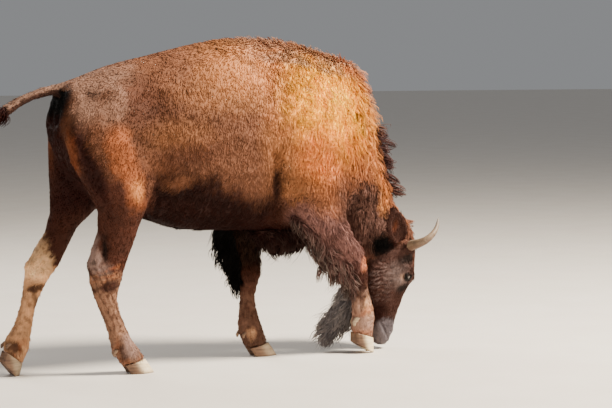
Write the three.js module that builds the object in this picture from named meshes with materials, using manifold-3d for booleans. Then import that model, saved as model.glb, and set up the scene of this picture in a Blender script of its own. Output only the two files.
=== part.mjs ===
// A grazing plains bison cow, life size, as a still museum model. Units are millimetres:
// +X points the way the animal walks, +Y to its left, +Z up, and the floor is Z = 0.
//
// Flesh and coat are lofts through named sections. A section is given by the two points where it
// meets the side outline, so the outline from the side is exactly what is written here, out to the
// tips of the coat, and by a half width. The lofts are joined, and parted again by thin cuts.
import * as THREE from "three";
import { mergeVertices } from "three/addons/utils/BufferGeometryUtils.js";
import Module from "manifold-3d";

const wasm = await Module();
wasm.setup();

// ---------------------------------------------------------------- driving dimensions
const HUMP_HEIGHT = 1540; // floor to the top of the coat on the hump
const DRAWN_HEIGHT = 1540; // the hump height at which the sections below are drawn
const SIZE = HUMP_HEIGHT / DRAWN_HEIGHT;
const GAP = 0.4; // between neighbouring nodes
const FORE_TRACK = 80; // centre line to the middle of a fore hoof
const HIND_TRACK = 104; // centre line to the middle of a hind hoof
const HOOF = { height: 66, length: 118, width: 49, cleft: 7, toeReach: 44, heelReach: 18 };
const EYE_RADIUS = 21;
const HORN_RADIUS = 27; // where the horn leaves the head
const REACH = 4000; // a half space is a box of this size
const SIDES = { right: -1, left: 1 };

// ---------------------------------------------------------------- sections and lofts
const V = (x, y, z) => new THREE.Vector3(x, y, z);
const UP = V(0, 0, 1);
const power = (value, exponent) => Math.sign(value) * Math.abs(value) ** exponent;

// Between FRONT and REAR, both [x, z], a section is two half superellipses that meet at WIDEST, a
// share of the way from rear to front. BLUNT holds their exponents: 2 is round, more is boxier.
const ROUND = { y: 0, widest: 0.5, blunt: [2.1, 2.1] };
function section(front, rear, half, manner = {}) {
  const { y, widest, blunt } = { ...ROUND, ...manner };
  return [...front, ...rear, y, half, widest, ...blunt];
}

// The sections joined by a cubic through them all, with STEPS rings from one to the next.
const PLACE_NUMBERS = 5; // of a section, the outline's and its y
function smoothed(sections, steps) {
  const places = [0];
  for (let i = 1; i < sections.length; i++) {
    const apart = sections[i].slice(0, PLACE_NUMBERS).map((n, k) => n - sections[i - 1][k]);
    places.push(places[i - 1] + Math.hypot(...apart));
  }
  const width = sections[0].length;
  const room = new Float32Array(width);
  const cubic = new THREE.CubicInterpolant(places, sections.flat(), width, room);
  const found = [];
  for (let i = 0; i < sections.length - 1; i++) {
    for (let k = 0; k < steps; k++) {
      found.push([...cubic.evaluate(places[i] + ((places[i + 1] - places[i]) * k) / steps)]);
    }
  }
  return [...found, sections.at(-1)];
}

function ring([fx, fz, rx, rz, y, half, widest, ...blunt], sides, shrink, grow) {
  const front = V(fx, y, fz);
  const rear = V(rx, y, rz);
  const along = front.clone().sub(rear).normalize();
  const middle = rear.clone().lerp(front, widest);
  const reach = [front.distanceTo(middle) + grow, rear.distanceTo(middle) + grow];
  return Array.from({ length: sides }, (_, i) => {
    const angle = (2 * Math.PI * i) / sides;
    const end = Math.sin(angle) > 0 ? 0 : 1;
    const out = reach[end] * power(Math.sin(angle), 2 / blunt[end]) * shrink;
    const across = (half + grow) * power(Math.cos(angle), 2 / blunt[end]) * shrink;
    return middle.clone().addScaledVector(along, out).add(V(0, across, 0));
  });
}

// A dome of this length closes an end, so that it isn't cut off flat.
const DOME_RINGS = 3;
function dome(last, before, length, sides, grow) {
  const centre = (s) => V((s[0] + s[2]) / 2, s[4], (s[1] + s[3]) / 2);
  const out = centre(last).sub(centre(before)).normalize();
  return Array.from({ length: DOME_RINGS }, (_, k) => {
    const angle = ((k + 1) / (DOME_RINGS + 0.5)) * (Math.PI / 2);
    const points = ring(last, sides, Math.cos(angle), grow);
    return points.map((p) => p.addScaledVector(out, (length + grow) * Math.sin(angle)));
  });
}

// A closed skin over rings of as many points each, with its ends capped.
function skinned(rings) {
  const sides = rings[0].length;
  const points = rings.flat();
  const faces = [];
  for (let r = 0; r < rings.length - 1; r++) {
    for (let i = 0; i < sides; i++) {
      const [a, b] = [r * sides + i, r * sides + ((i + 1) % sides)];
      faces.push(a, b, b + sides, a, b + sides, a + sides);
    }
  }
  const lastRing = (rings.length - 1) * sides;
  for (const start of [0, lastRing]) {
    const middle = V(0, 0, 0);
    for (let i = 0; i < sides; i++) middle.addScaledVector(points[start + i], 1 / sides);
    const centre = points.push(middle) - 1;
    for (let i = 0; i < sides; i++) {
      const [a, b] = [start + i, start + ((i + 1) % sides)];
      faces.push(...(start === lastRing ? [a, b, centre] : [b, a, centre]));
    }
  }
  const flat = points.flatMap((p) => [p.x * SIZE, p.y * SIZE, p.z * SIZE]);
  const geometry = new THREE.BufferGeometry();
  geometry.setAttribute("position", new THREE.Float32BufferAttribute(flat, 3));
  geometry.setIndex(faces);
  return solid(geometry);
}

function loft(sections, { steps = 1, sides = 12, domes = [0, 0], grow = 0 } = {}) {
  const all = smoothed(sections, steps);
  const rings = all.map((s) => ring(s, sides, 1, grow));
  if (domes[0]) rings.unshift(...dome(all[0], all[1], domes[0], sides, grow).reverse());
  if (domes[1]) rings.push(...dome(all.at(-1), all.at(-2), domes[1], sides, grow));
  return skinned(rings);
}

// A round bar along a curve. RADIUS is a function of the share of the way.
function bar(path, sides, lengths, radius) {
  const curve = new THREE.CatmullRomCurve3(path);
  const { normals, binormals } = curve.computeFrenetFrames(lengths, false);
  const rings = Array.from({ length: lengths + 1 }, (_, k) => {
    const centre = curve.getPointAt(k / lengths);
    return Array.from({ length: sides }, (_, i) => {
      const angle = (2 * Math.PI * i) / sides;
      const out = normals[k].clone().multiplyScalar(Math.cos(angle));
      out.addScaledVector(binormals[k], Math.sin(angle));
      return centre.clone().addScaledVector(out, radius(k / lengths));
    });
  });
  return skinned(rings);
}

// ---------------------------------------------------------------- solids
function solid(geometry) {
  geometry.deleteAttribute("normal");
  geometry.deleteAttribute("uv");
  const merged = mergeVertices(geometry, 1e-3);
  const mesh = new wasm.Mesh({
    numProp: 3,
    vertProperties: merged.attributes.position.array,
    triVerts: new Uint32Array(merged.index.array),
  });
  const made = new wasm.Manifold(mesh);
  if (made.volume() > 0) return made;
  for (let i = 0; i < mesh.triVerts.length; i += 3) {
    [mesh.triVerts[i], mesh.triVerts[i + 1]] = [mesh.triVerts[i + 1], mesh.triVerts[i]];
  }
  return new wasm.Manifold(mesh);
}

// An egg of flesh or hair with these half sizes, leaned by TILT degrees about the Y axis.
function egg({ centre, halves, tilt = 0 }, detail, grow = 0) {
  const shape = new THREE.SphereGeometry(1, detail * 2, detail);
  shape.rotateX(Math.PI / 2);
  shape.scale(...halves.map((h) => (h + grow) * SIZE));
  shape.rotateY(THREE.MathUtils.degToRad(tilt));
  shape.translate(...centre.map((c) => c * SIZE));
  return solid(shape);
}

// All that lies further than OFFSET past the plane through POINT, on the side NORMAL points to.
function halfSpace(point, normal, offset = 0) {
  const box = new THREE.BoxGeometry(REACH, REACH, REACH);
  box.translate(0, 0, REACH / 2 + offset);
  box.applyQuaternion(new THREE.Quaternion().setFromUnitVectors(UP, normal.clone().normalize()));
  box.translate(point.x * SIZE, point.y * SIZE, point.z * SIZE);
  return solid(box);
}

// Parts a solid by a plane, and takes half of GAP from each side.
function parted(whole, point, normal) {
  const beyond = halfSpace(point, normal, GAP / 2);
  const before = halfSpace(point, normal.clone().negate(), GAP / 2);
  return [whole.intersect(before), whole.intersect(beyond)];
}

// A point on a section's plane, and the way from that section to the next one.
function planeOf([fx, fz, rx, rz, y]) {
  return [V((fx + rx) / 2, y, (fz + rz) / 2), V(fz - rz, 0, rx - fx)];
}

const join = (...solids) => solids.reduce((a, b) => a.add(b));
const cut = (whole, ...tools) => tools.reduce((a, b) => a.subtract(b), whole);
const largest = (whole) => whole.decompose().sort((a, b) => b.volume() - a.volume())[0];
const mirrored = (path, side) => path.map((p) => V(p.x, side * p.y, p.z));

// ---------------------------------------------------------------- trunk and neck
// Front points run along the back, hump and nape, rear ones along the belly, brisket and throat.
// The nape hangs almost upright, as the head is at the ground.
const HAUNCH = { widest: 0.56, blunt: [1.9, 2.1] };
const RIBS = { widest: 0.48, blunt: [1.8, 2.2] };
const HUMP = { widest: 0.47, blunt: [1.65, 2.1] };
const NECK = { widest: 0.44, blunt: [1.75, 2.1] };
const POLL = { widest: 0.5, blunt: [2.1, 2.1] };
const TORSO = {
  buttocks: section([-730, 1168], [-730, 1060], 84),
  pinBones: section([-700, 1318], [-700, 985], 150, HAUNCH),
  rump: section([-600, 1368], [-600, 880], 205, HAUNCH),
  hooks: section([-450, 1421], [-450, 760], 236, HAUNCH),
  loin: section([-300, 1454], [-300, 700], 250, HAUNCH),
  flank: section([-110, 1498], [-130, 646], 286, RIBS),
  belly: section([90, 1534], [60, 632], 290, RIBS),
  hump: section([290, 1540], [240, 618], 272, HUMP),
  withers: section([470, 1518], [420, 598], 262, HUMP),
  shoulder: section([640, 1464], [545, 590], 240, HUMP),
  neckRoot: section([780, 1431], [622, 600], 208, NECK),
  mane: section([862, 1322], [668, 590], 188, NECK),
  crest: section([888, 1150], [700, 558], 176, NECK),
  nape: section([936, 1010], [726, 520], 164, NECK),
  throat: section([960, 862], [748, 476], 152, POLL),
  jowl: section([994, 744], [772, 448], 140, POLL),
  poll: section([1046, 664], [806, 424], 124, POLL),
};
const TRUNK_LOFT = { steps: 2, sides: 20, domes: [24, 30] };

const torso = (grow = 0) => loft(Object.values(TORSO), { ...TRUNK_LOFT, grow });

// ---------------------------------------------------------------- head
// Front points run down the forehead and nose, rear ones along the jaw.
const FOREHEAD = { widest: 0.61, blunt: [2.8, 2.1] };
const NOSE = { widest: 0.53, blunt: [2.4, 2.3] };
const HEAD = {
  crown: section([1086, 628], [868, 560], 108, FOREHEAD),
  horns: section([1100, 560], [838, 486], 118, FOREHEAD),
  forehead: section([1104, 470], [818, 420], 114, FOREHEAD),
  eyes: section([1100, 392], [816, 366], 112, FOREHEAD),
  cheeks: section([1082, 330], [822, 316], 104, FOREHEAD),
  bridge: section([1052, 266], [838, 262], 86, NOSE),
  nose: section([1026, 202], [856, 204], 70, NOSE),
  nostrils: section([1002, 138], [866, 150], 61, NOSE),
  muzzle: section([986, 84], [870, 102], 60, NOSE),
  lips: section([969, 44], [880, 60], 56, NOSE),
};
const HEAD_LOFT = { sides: 20, domes: [40, 36] };
const ORBIT = { centre: [1032, 86, 366], halves: [46, 34, 46] };
const CHEEK = { centre: [900, 70, 372], halves: [78, 36, 104], tilt: 12 };
const HORN_ROOT = { centre: [1034, 104, 512], halves: [42, 40, 42] };
const LUMP_DETAIL = 5;

// An egg drawn on the left side, on either side.
function sided(lump, side) {
  const [x, y, z] = lump.centre;
  return { ...lump, centre: [x, side * y, z] };
}

function head(grow = 0) {
  const lumps = Object.values(SIDES).flatMap((side) => {
    return [ORBIT, CHEEK, HORN_ROOT].map((lump) => egg(sided(lump, side), LUMP_DETAIL, grow));
  });
  return join(loft(Object.values(HEAD), { ...HEAD_LOFT, grow }), ...lumps);
}

const EYE = { centre: [1030, 106, 362], halves: Array(3).fill(EYE_RADIUS) };
const EYE_DETAIL = 6;

const eye = (side, grow = 0) => egg(sided(EYE, side), EYE_DETAIL, grow);

// The left horn: out of the side of the head, forward, and up to a point that turns in.
const HORN_PATH = [
  V(1030, 108, 510),
  V(1040, 150, 520),
  V(1050, 192, 532),
  V(1072, 220, 548),
  V(1104, 226, 574),
  V(1136, 212, 608),
  V(1158, 190, 654),
];
const HORN_TIP = 2;
const hornRadius = (share) => HORN_RADIUS * (1 - share) ** 0.62 * (1 - 0.12 * share) + HORN_TIP;

const horn = (side) => bar(mirrored(HORN_PATH, side), 10, 11, hornRadius);

// An ear is a leaf, hollowed by a smaller leaf on the side that it opens to.
const EAR = { root: V(972, 112, 536), tip: V(916, 200, 712), half: 46, depth: 17 };
const EAR_OPENING = V(0.25, 1, 0.05);
const EAR_HOLLOW = 0.74; // of the leaf's width
const EAR_WALL = 0.72; // of its depth
const leafWidth = (share) => Math.sin(Math.PI * (0.1 + 0.88 * share) ** 0.8) ** 0.72;

function leaf(side, scale, shift) {
  const [root, tip] = mirrored([EAR.root, EAR.tip], side);
  const along = tip.clone().sub(root);
  const stem = along.clone().normalize();
  const opening = mirrored([EAR_OPENING], side)[0].projectOnPlane(stem).normalize();
  const across = stem.cross(opening);
  const [lengths, sides] = [6, 8];
  const rings = Array.from({ length: lengths + 1 }, (_, k) => {
    const swell = leafWidth(k / lengths) * scale;
    const centre = root.clone().addScaledVector(along, k / lengths).addScaledVector(opening, shift);
    return Array.from({ length: sides }, (_, i) => {
      const angle = (2 * Math.PI * i) / sides;
      const edge = centre.clone().addScaledVector(across, EAR.half * swell * Math.cos(angle));
      return edge.addScaledVector(opening, EAR.depth * swell * Math.sin(angle));
    });
  });
  return skinned(rings);
}

const ear = (side) => cut(leaf(side, 1, 0), leaf(side, EAR_HOLLOW, EAR.depth * EAR_WALL));

// ---------------------------------------------------------------- legs
// Each leg is drawn where it stands, from inside the trunk down to the pastern: the left fore and
// right hind hooves are flat on the floor, and the other two are leaned on the toe by PITCH degrees.
const LEGS = {
  foreleg_right: {
    side: SIDES.right,
    track: FORE_TRACK,
    coronet: [792, 101],
    pitch: 32,
    cuts: ["elbow", "knee"],
    sections: {
      shoulder: section([600, 1150], [380, 1010], 70, { y: -150 }),
      upperArm: section([640, 940], [362, 880], 84, { y: -166 }),
      arm: section([650, 800], [352, 776], 88, { y: -172 }),
      elbow: section([664, 680], [384, 690], 84, { y: -168 }),
      forearmTop: section([700, 596], [472, 598], 74, { y: -160 }),
      forearm: section([748, 532], [590, 512], 60, { y: -148 }),
      aboveKnee: section([779, 470], [668, 454], 50, { y: -136 }),
      knee: section([792, 420], [700, 408], 46, { y: -128 }),
      cannonTop: section([796, 372], [709, 364], 40, { y: -120 }),
      cannon: section([806, 316], [718, 310], 35, { y: -112 }),
      aboveFetlock: section([824, 264], [724, 258], 37, { y: -104 }),
      fetlock: section([844, 214], [729, 204], 43, { y: -96 }),
      pastern: section([850, 168], [731, 160], 45, { y: -88 }),
    },
  },
  foreleg_left: {
    side: SIDES.left,
    track: FORE_TRACK,
    coronet: [294, HOOF.height],
    pitch: 0,
    cuts: ["elbow", "knee"],
    sections: {
      shoulder: section([500, 1150], [300, 1010], 70, { y: 150 }),
      upperArm: section([510, 940], [240, 880], 84, { y: 166 }),
      arm: section([486, 800], [190, 780], 84, { y: 168 }),
      elbow: section([416, 680], [150, 680], 78, { y: 156 }),
      forearmTop: section([372, 596], [158, 600], 66, { y: 144 }),
      forearm: section([350, 520], [180, 520], 56, { y: 130 }),
      aboveKnee: section([344, 462], [206, 462], 48, { y: 118 }),
      knee: section([336, 412], [218, 410], 44, { y: 110 }),
      cannonTop: section([314, 352], [220, 348], 37, { y: 100 }),
      cannon: section([294, 286], [217, 284], 33, { y: 92 }),
      aboveFetlock: section([302, 226], [209, 222], 36, { y: 86 }),
      fetlock: section([314, 170], [200, 164], 44, { y: 82 }),
      pastern: section([332, 124], [204, 112], 46, { y: 80 }),
    },
  },
  hindleg_right: {
    side: SIDES.right,
    track: HIND_TRACK,
    coronet: [-408, HOOF.height],
    pitch: 0,
    cuts: ["thigh", "hock"],
    sections: {
      croup: section([-380, 1310], [-610, 1310], 90, { y: -104 }),
      haunch: section([-310, 1180], [-698, 1210], 104, { y: -122 }),
      buttock: section([-270, 1020], [-728, 1100], 106, { y: -140 }),
      thigh: section([-290, 880], [-702, 985], 104, { y: -152 }),
      lowerThigh: section([-338, 772], [-640, 868], 92, { y: -158 }),
      stifle: section([-376, 694], [-578, 764], 78, { y: -152 }),
      gaskin: section([-400, 616], [-578, 668], 62, { y: -142 }),
      aboveHock: section([-426, 540], [-606, 588], 50, { y: -132 }),
      hock: section([-446, 478], [-622, 510], 46, { y: -124 }),
      belowHock: section([-466, 410], [-612, 430], 43, { y: -118 }),
      cannonTop: section([-480, 350], [-592, 366], 37, { y: -114 }),
      cannon: section([-462, 280], [-566, 302], 35, { y: -110 }),
      aboveFetlock: section([-436, 212], [-538, 236], 37, { y: -108 }),
      fetlock: section([-412, 158], [-518, 166], 44, { y: -106 }),
      pastern: section([-376, 112], [-506, 104], 46, { y: -104 }),
    },
  },
  hindleg_left: {
    side: SIDES.left,
    track: HIND_TRACK,
    coronet: [-908, 96],
    pitch: 52,
    cuts: ["thigh", "hock"],
    sections: {
      croup: section([-400, 1310], [-610, 1310], 90, { y: 104 }),
      haunch: section([-340, 1180], [-694, 1210], 104, { y: 122 }),
      buttock: section([-316, 1020], [-714, 1090], 106, { y: 140 }),
      thigh: section([-352, 880], [-712, 960], 102, { y: 150 }),
      lowerThigh: section([-424, 790], [-708, 842], 86, { y: 152 }),
      stifle: section([-506, 728], [-710, 740], 72, { y: 144 }),
      gaskin: section([-580, 668], [-742, 652], 58, { y: 134 }),
      aboveHock: section([-634, 574], [-798, 574], 49, { y: 124 }),
      hock: section([-680, 494], [-840, 500], 46, { y: 118 }),
      belowHock: section([-738, 426], [-850, 434], 43, { y: 114 }),
      cannonTop: section([-776, 362], [-860, 372], 37, { y: 112 }),
      cannon: section([-804, 286], [-878, 300], 34, { y: 110 }),
      aboveFetlock: section([-818, 216], [-904, 230], 37, { y: 108 }),
      fetlock: section([-826, 162], [-940, 180], 44, { y: 106 }),
      pastern: section([-838, 118], [-958, 142], 46, { y: 104 }),
    },
  },
};

// The foot's own frame: its origin on the coronet, X to the toe. The coronet slants down to the
// heel, so a hoof is tallest at the toe.
const CORONET = { front: 56, rear: -50, half: 48, slant: 0.24, blunt: [2.4, 2.4] };
const coronetZ = (x) => (x - CORONET.front) * CORONET.slant;

function footPoint(leg, x, y, z) {
  const point = V(x, 0, z).applyAxisAngle(V(0, 1, 0), THREE.MathUtils.degToRad(leg.pitch));
  return point.add(V(leg.coronet[0], leg.side * leg.track + y, leg.coronet[1]));
}

function legLoft(leg, grow = 0) {
  const front = footPoint(leg, CORONET.front, 0, GAP);
  const rear = footPoint(leg, CORONET.rear, 0, GAP + coronetZ(CORONET.rear));
  const manner = { y: front.y, blunt: CORONET.blunt };
  const coronet = section([front.x, front.z], [rear.x, rear.z], CORONET.half, manner);
  return loft([...Object.values(leg.sections), coronet], { grow });
}

// A leg's root belongs to the trunk, which the rest of the leg is set into.
function legLengths(leg) {
  const [top, middle] = leg.cuts.map((name) => planeOf(leg.sections[name]));
  const [root, free] = parted(legLoft(leg), ...top);
  const [upper, lower] = parted(free, ...middle);
  const socket = legLoft(leg, GAP).intersect(halfSpace(...top, -GAP / 2));
  return { root, upper, lower, socket };
}

// A claw stands under its half of the coronet, on the left of it where WAY is 1, and on the right
// where it is -1. It narrows to the toe, which it turns in.
const CLAW_LEVELS = [0, 0.45, 1];
const CLAW_POINTS = 12;
const TOE_TAPER = 0.38;
const TOE_TURN = 0.18;
const TOP_WIDTH = 0.92; // of the sole's

function claw(leg, way) {
  const { height, length, width, cleft, toeReach, heelReach } = HOOF;
  const middle = (way * (cleft + width)) / 2;
  const rings = CLAW_LEVELS.map((share) => {
    const toe = CORONET.front - 1 + toeReach * share;
    const heel = toe - length + heelReach * (1 - share);
    const half = (width / 2) * (TOP_WIDTH + (1 - TOP_WIDTH) * share);
    return Array.from({ length: CLAW_POINTS }, (_, i) => {
      const angle = (2 * Math.PI * i) / CLAW_POINTS;
      const [c, s] = [Math.cos(angle), Math.sin(angle)];
      const along = (toe + heel) / 2 + ((toe - heel) / 2) * c;
      const across = half * (s * (1 - TOE_TAPER * Math.max(0, c) ** 2) - way * TOE_TURN * c);
      const below = height * share - coronetZ(along) * (1 - share);
      return footPoint(leg, along, middle + across, -below);
    });
  });
  return skinned(rings).intersect(halfSpace(V(0, 0, 0), UP));
}

// Two small cones of horn behind the fetlock.
const DEWCLAW = { spread: 24, radius: 15, inset: 22, out: 7, length: 24 };
const dewclawRadius = (share) => DEWCLAW.radius * Math.sqrt(1 - 0.8 * share ** 2);

function dewclaw(leg, way) {
  const { spread, radius, inset, out, length } = DEWCLAW;
  const [frontX, frontZ, rearX, rearZ, y] = leg.sections.pastern;
  const back = V(rearX - frontX, 0, rearZ - frontZ).normalize();
  const down = V(-back.z, 0, back.x);
  const at = (behind, below) => {
    const point = V(rearX, y + way * spread, rearZ);
    return point.addScaledVector(back, behind).addScaledVector(down, below);
  };
  const path = [at(-inset, -radius), at(out / 2, 0), at(out, length)];
  return cut(bar(path, 6, 3, dewclawRadius), legLoft(leg, GAP));
}

// ---------------------------------------------------------------- tail
const TAIL_PATH = [
  V(-640, 0, 1324),
  V(-741, 0, 1305),
  V(-834, 0, 1280),
  V(-926, 0, 1233),
  V(-1031, 0, 1155),
  V(-1103, 0, 1038),
  V(-1146, 0, 914),
];
const TAIL_RADII = [29, 25, 22, 26, 40, 46, 38, 12]; // from the root, evenly spaced
const TUFT = { from: V(-950, 0, 1212), way: V(-0.86, 0, -0.5) };

function tailRadius(share) {
  const spaces = TAIL_RADII.length - 1;
  const before = Math.min(Math.floor(share * spaces), spaces - 1);
  return THREE.MathUtils.lerp(TAIL_RADII[before], TAIL_RADII[before + 1], share * spaces - before);
}

const tail = () => bar(TAIL_PATH, 8, 14, tailRadius);

// ---------------------------------------------------------------- long hair
// Chaps hang from the back of each forearm. The beard is swept back from the chin and jaw.
const CHAPS = {
  chaps_right: [
    section([520, 700], [366, 692], 50, { y: -168 }),
    section([560, 640], [388, 636], 52, { y: -166 }),
    section([610, 580], [440, 566], 48, { y: -160 }),
    section([664, 520], [492, 490], 42, { y: -152 }),
    section([704, 462], [540, 424], 36, { y: -142 }),
    section([724, 410], [616, 376], 28, { y: -132 }),
    section([732, 360], [660, 336], 20, { y: -124 }),
    section([736, 312], [690, 300], 11, { y: -118 }),
  ],
  chaps_left: [
    section([320, 690], [112, 682], 52, { y: 150 }),
    section([310, 620], [92, 616], 52, { y: 144 }),
    section([300, 540], [100, 526], 46, { y: 132 }),
    section([282, 470], [132, 452], 38, { y: 120 }),
    section([270, 410], [164, 388], 28, { y: 110 }),
    section([262, 352], [206, 336], 13, { y: 103 }),
  ],
};
const CHAPS_LOFT = { sides: 8, domes: [20, 14] };
const BEARD = [
  section([900, 330], [780, 440], 50, { y: 12 }),
  section([884, 240], [748, 370], 50, { y: 16 }),
  section([868, 158], [706, 304], 46, { y: 20 }),
  section([800, 104], [666, 250], 40, { y: 24 }),
  section([716, 62], [626, 196], 32, { y: 28 }),
  section([656, 34], [600, 128], 20, { y: 30 }),
];
const BEARD_LOFT = { domes: [0, 20] };
const BRISKET_FRINGE = { centre: [405, 0, 592], halves: [165, 86, 92], tilt: 2 };
const FRINGE_DETAIL = 7;

// ---------------------------------------------------------------- materials
const coat = (hex) => new THREE.MeshStandardMaterial({ color: hex, roughness: 0.95 });
const MATERIALS = {
  rear_coat: coat(0x6b4a38),
  cape_coat: coat(0xb5793f),
  dark_coat: coat(0x3a2620),
  leg_coat: coat(0x5d4335),
  long_hair: coat(0x2b2122),
  horn: new THREE.MeshStandardMaterial({ color: 0x8d8272, roughness: 0.5 }),
  hoof: new THREE.MeshStandardMaterial({ color: 0x9a9081, roughness: 0.55 }),
  eye: new THREE.MeshStandardMaterial({ color: 0x1a100b, roughness: 0.1 }),
};

const bison = new THREE.Group();

// Adds a solid as a named mesh. Crumbs that a cut has left are dropped.
function add(name, shape, material) {
  const found = largest(shape).getMesh();
  const geometry = new THREE.BufferGeometry();
  geometry.setAttribute("position", new THREE.BufferAttribute(found.vertProperties, 3));
  geometry.setIndex(new THREE.BufferAttribute(found.triVerts, 1));
  geometry.computeVertexNormals();
  const mesh = new THREE.Mesh(geometry, MATERIALS[material]);
  mesh.name = name;
  bison.add(mesh);
}

// ---------------------------------------------------------------- assembly
// The trunk, neck and head are one body of flesh, parted after these sections of the torso.
const FLESH = [
  { name: "hindquarters", last: "loin", material: "rear_coat" },
  { name: "barrel", last: "hump", material: "rear_coat" },
  { name: "forequarters", last: "neckRoot", material: "cape_coat" },
  { name: "neck", last: "poll", material: "cape_coat" },
];

function addFlesh(whole) {
  let rest = whole;
  for (const { name, last, material } of FLESH) {
    const [before, beyond] = parted(rest, ...planeOf(TORSO[last]));
    add(name, before, material);
    rest = beyond;
  }
  add("head", rest, "dark_coat");
}

function addLeg(name, leg, { upper, lower }) {
  add(`${name}_upper`, upper, "leg_coat");
  add(`${name}_lower`, lower, "leg_coat");
  for (const [which, way] of [["inner", -leg.side], ["outer", leg.side]]) {
    add(`${name}_claw_${which}`, claw(leg, way), "hoof");
    add(`${name}_dewclaw_${which}`, dewclaw(leg, way), "hoof");
  }
}

// What grows out of the flesh is cut back to its surface.
function addGrowths(flesh) {
  for (const [name, side] of Object.entries(SIDES)) {
    add(`eye_${name}`, eye(side), "eye");
    add(`horn_${name}`, cut(horn(side), flesh), "horn");
    add(`ear_${name}`, cut(ear(side), flesh), "dark_coat");
  }
  const [bone, tuft] = parted(cut(tail(), flesh), TUFT.from, TUFT.way);
  add("tail", bone, "rear_coat");
  add("tail_tuft", tuft, "long_hair");
}

function addHangingHair(flesh) {
  for (const [name, sections] of Object.entries(CHAPS)) {
    add(name, cut(loft(sections, CHAPS_LOFT), flesh), "long_hair");
  }
  add("beard", cut(loft(BEARD, BEARD_LOFT), flesh), "long_hair");
  add("brisket_fringe", cut(egg(BRISKET_FRINGE, FRINGE_DETAIL), flesh), "long_hair");
}

const lengths = Object.values(LEGS).map(legLengths);
const roots = lengths.map((l) => l.root);
const sockets = lengths.map((l) => l.socket);
const eyeSockets = Object.values(SIDES).map((side) => eye(side, GAP));
addFlesh(cut(join(torso(), head(), ...roots), ...sockets, ...eyeSockets));
Object.entries(LEGS).forEach(([name, leg], i) => addLeg(name, leg, lengths[i]));
const body = join(torso(GAP), head(GAP));
addGrowths(body);
addHangingHair(join(body, ...Object.values(LEGS).map((leg) => legLoft(leg, GAP))));

export default bison;
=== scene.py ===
"""The looks of a grazing plains bison cow: one skin over the whole body, shrunk inside the coat's outline,
a coat of solid tufts that lie on it and carry its markings, long locks, and horns, hooves, eyes and ears."""

import math

import bpy
import numpy as np
from mathutils import Matrix, Vector
from mathutils.bvhtree import BVHTree
from mathutils.kdtree import KDTree


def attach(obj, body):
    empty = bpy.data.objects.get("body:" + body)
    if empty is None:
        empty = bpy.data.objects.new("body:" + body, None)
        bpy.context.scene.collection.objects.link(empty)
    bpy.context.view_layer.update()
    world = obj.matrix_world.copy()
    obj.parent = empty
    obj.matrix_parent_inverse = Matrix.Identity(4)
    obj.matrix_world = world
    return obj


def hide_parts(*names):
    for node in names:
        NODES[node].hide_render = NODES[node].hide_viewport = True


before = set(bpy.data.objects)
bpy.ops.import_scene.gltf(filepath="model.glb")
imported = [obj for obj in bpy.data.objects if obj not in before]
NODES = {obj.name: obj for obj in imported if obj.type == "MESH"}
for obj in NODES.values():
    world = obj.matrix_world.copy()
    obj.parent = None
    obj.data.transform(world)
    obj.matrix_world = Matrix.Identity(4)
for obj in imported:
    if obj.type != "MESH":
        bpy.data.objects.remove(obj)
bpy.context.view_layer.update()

SIDES = {"right": -1, "left": 1}
FORELEGS = ("foreleg_right", "foreleg_left")
HINDLEGS = ("hindleg_right", "hindleg_left")
TRUNK = ("hindquarters", "barrel", "forequarters", "neck", "head")
LEG_LENGTHS = tuple(f"{leg}_{length}" for leg in FORELEGS + HINDLEGS for length in ("upper", "lower"))
FLESH = TRUNK + LEG_LENGTHS + ("tail",)
HAIR_MASSES = ("chaps_right", "chaps_left", "beard", "brisket_fringe", "tail_tuft")
EARS = ("ear_right", "ear_left")
PARTS = FLESH + HAIR_MASSES + EARS


# ---------------------------------------------------------------- camera, floor and light
CAMERA_PLACE = (-3.340, -8.305, 1.47)
CAMERA_TURN = math.radians(25.0)  # from straight across the animal towards its head
CAMERA_DOWN = math.radians(4.6)
CAMERA_ROLL = math.radians(-0.65)
CAMERA_LENS = 111.8  # mm, on a sensor 36 mm wide


def set_camera():
    data = bpy.data.cameras.new("camera")
    data.lens = CAMERA_LENS
    camera = bpy.data.objects.new("camera", data)
    bpy.context.collection.objects.link(camera)
    turn = Matrix.Rotation(-CAMERA_TURN, 4, "Z") @ Matrix.Rotation(math.pi / 2 - CAMERA_DOWN, 4, "X")
    camera.matrix_world = Matrix.Translation(CAMERA_PLACE) @ turn @ Matrix.Rotation(CAMERA_ROLL, 4, "Z")
    bpy.context.scene.camera = camera


# Each light: its name, place, width, power in watts and colour.
LIGHTS = (
    ("key_light", (4.6, -3.0, 6.2), 2.0, 2250, (1.0, 0.90, 0.75)),
    ("fill_light", (-4.5, -6.0, 2.4), 4.0, 60, (0.93, 0.96, 1.0)),
    ("rim_light", (-1.5, 4.5, 4.5), 3.0, 200, (1.0, 0.96, 0.9)),
)
LIT_MIDDLE = (0.1, 0.0, 0.85)  # what the lights are aimed at
SKY_COLOUR = (0.90, 0.92, 0.95, 1)
SKY_STRENGTH = 0.28


def set_light():
    for name, place, width, power, colour in LIGHTS:
        data = bpy.data.lights.new(name, "AREA")
        data.shape = "DISK"
        data.size = width
        data.energy = power
        data.color = colour
        light = bpy.data.objects.new(name, data)
        bpy.context.collection.objects.link(light)
        light.location = place
        light.rotation_euler = (Vector(LIT_MIDDLE) - Vector(place)).to_track_quat("-Z", "Y").to_euler()
    world = bpy.data.worlds.new("studio")
    world.use_nodes = True
    sky = world.node_tree.nodes["Background"]
    sky.inputs["Color"].default_value = SKY_COLOUR
    sky.inputs["Strength"].default_value = SKY_STRENGTH
    bpy.context.scene.world = world


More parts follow.
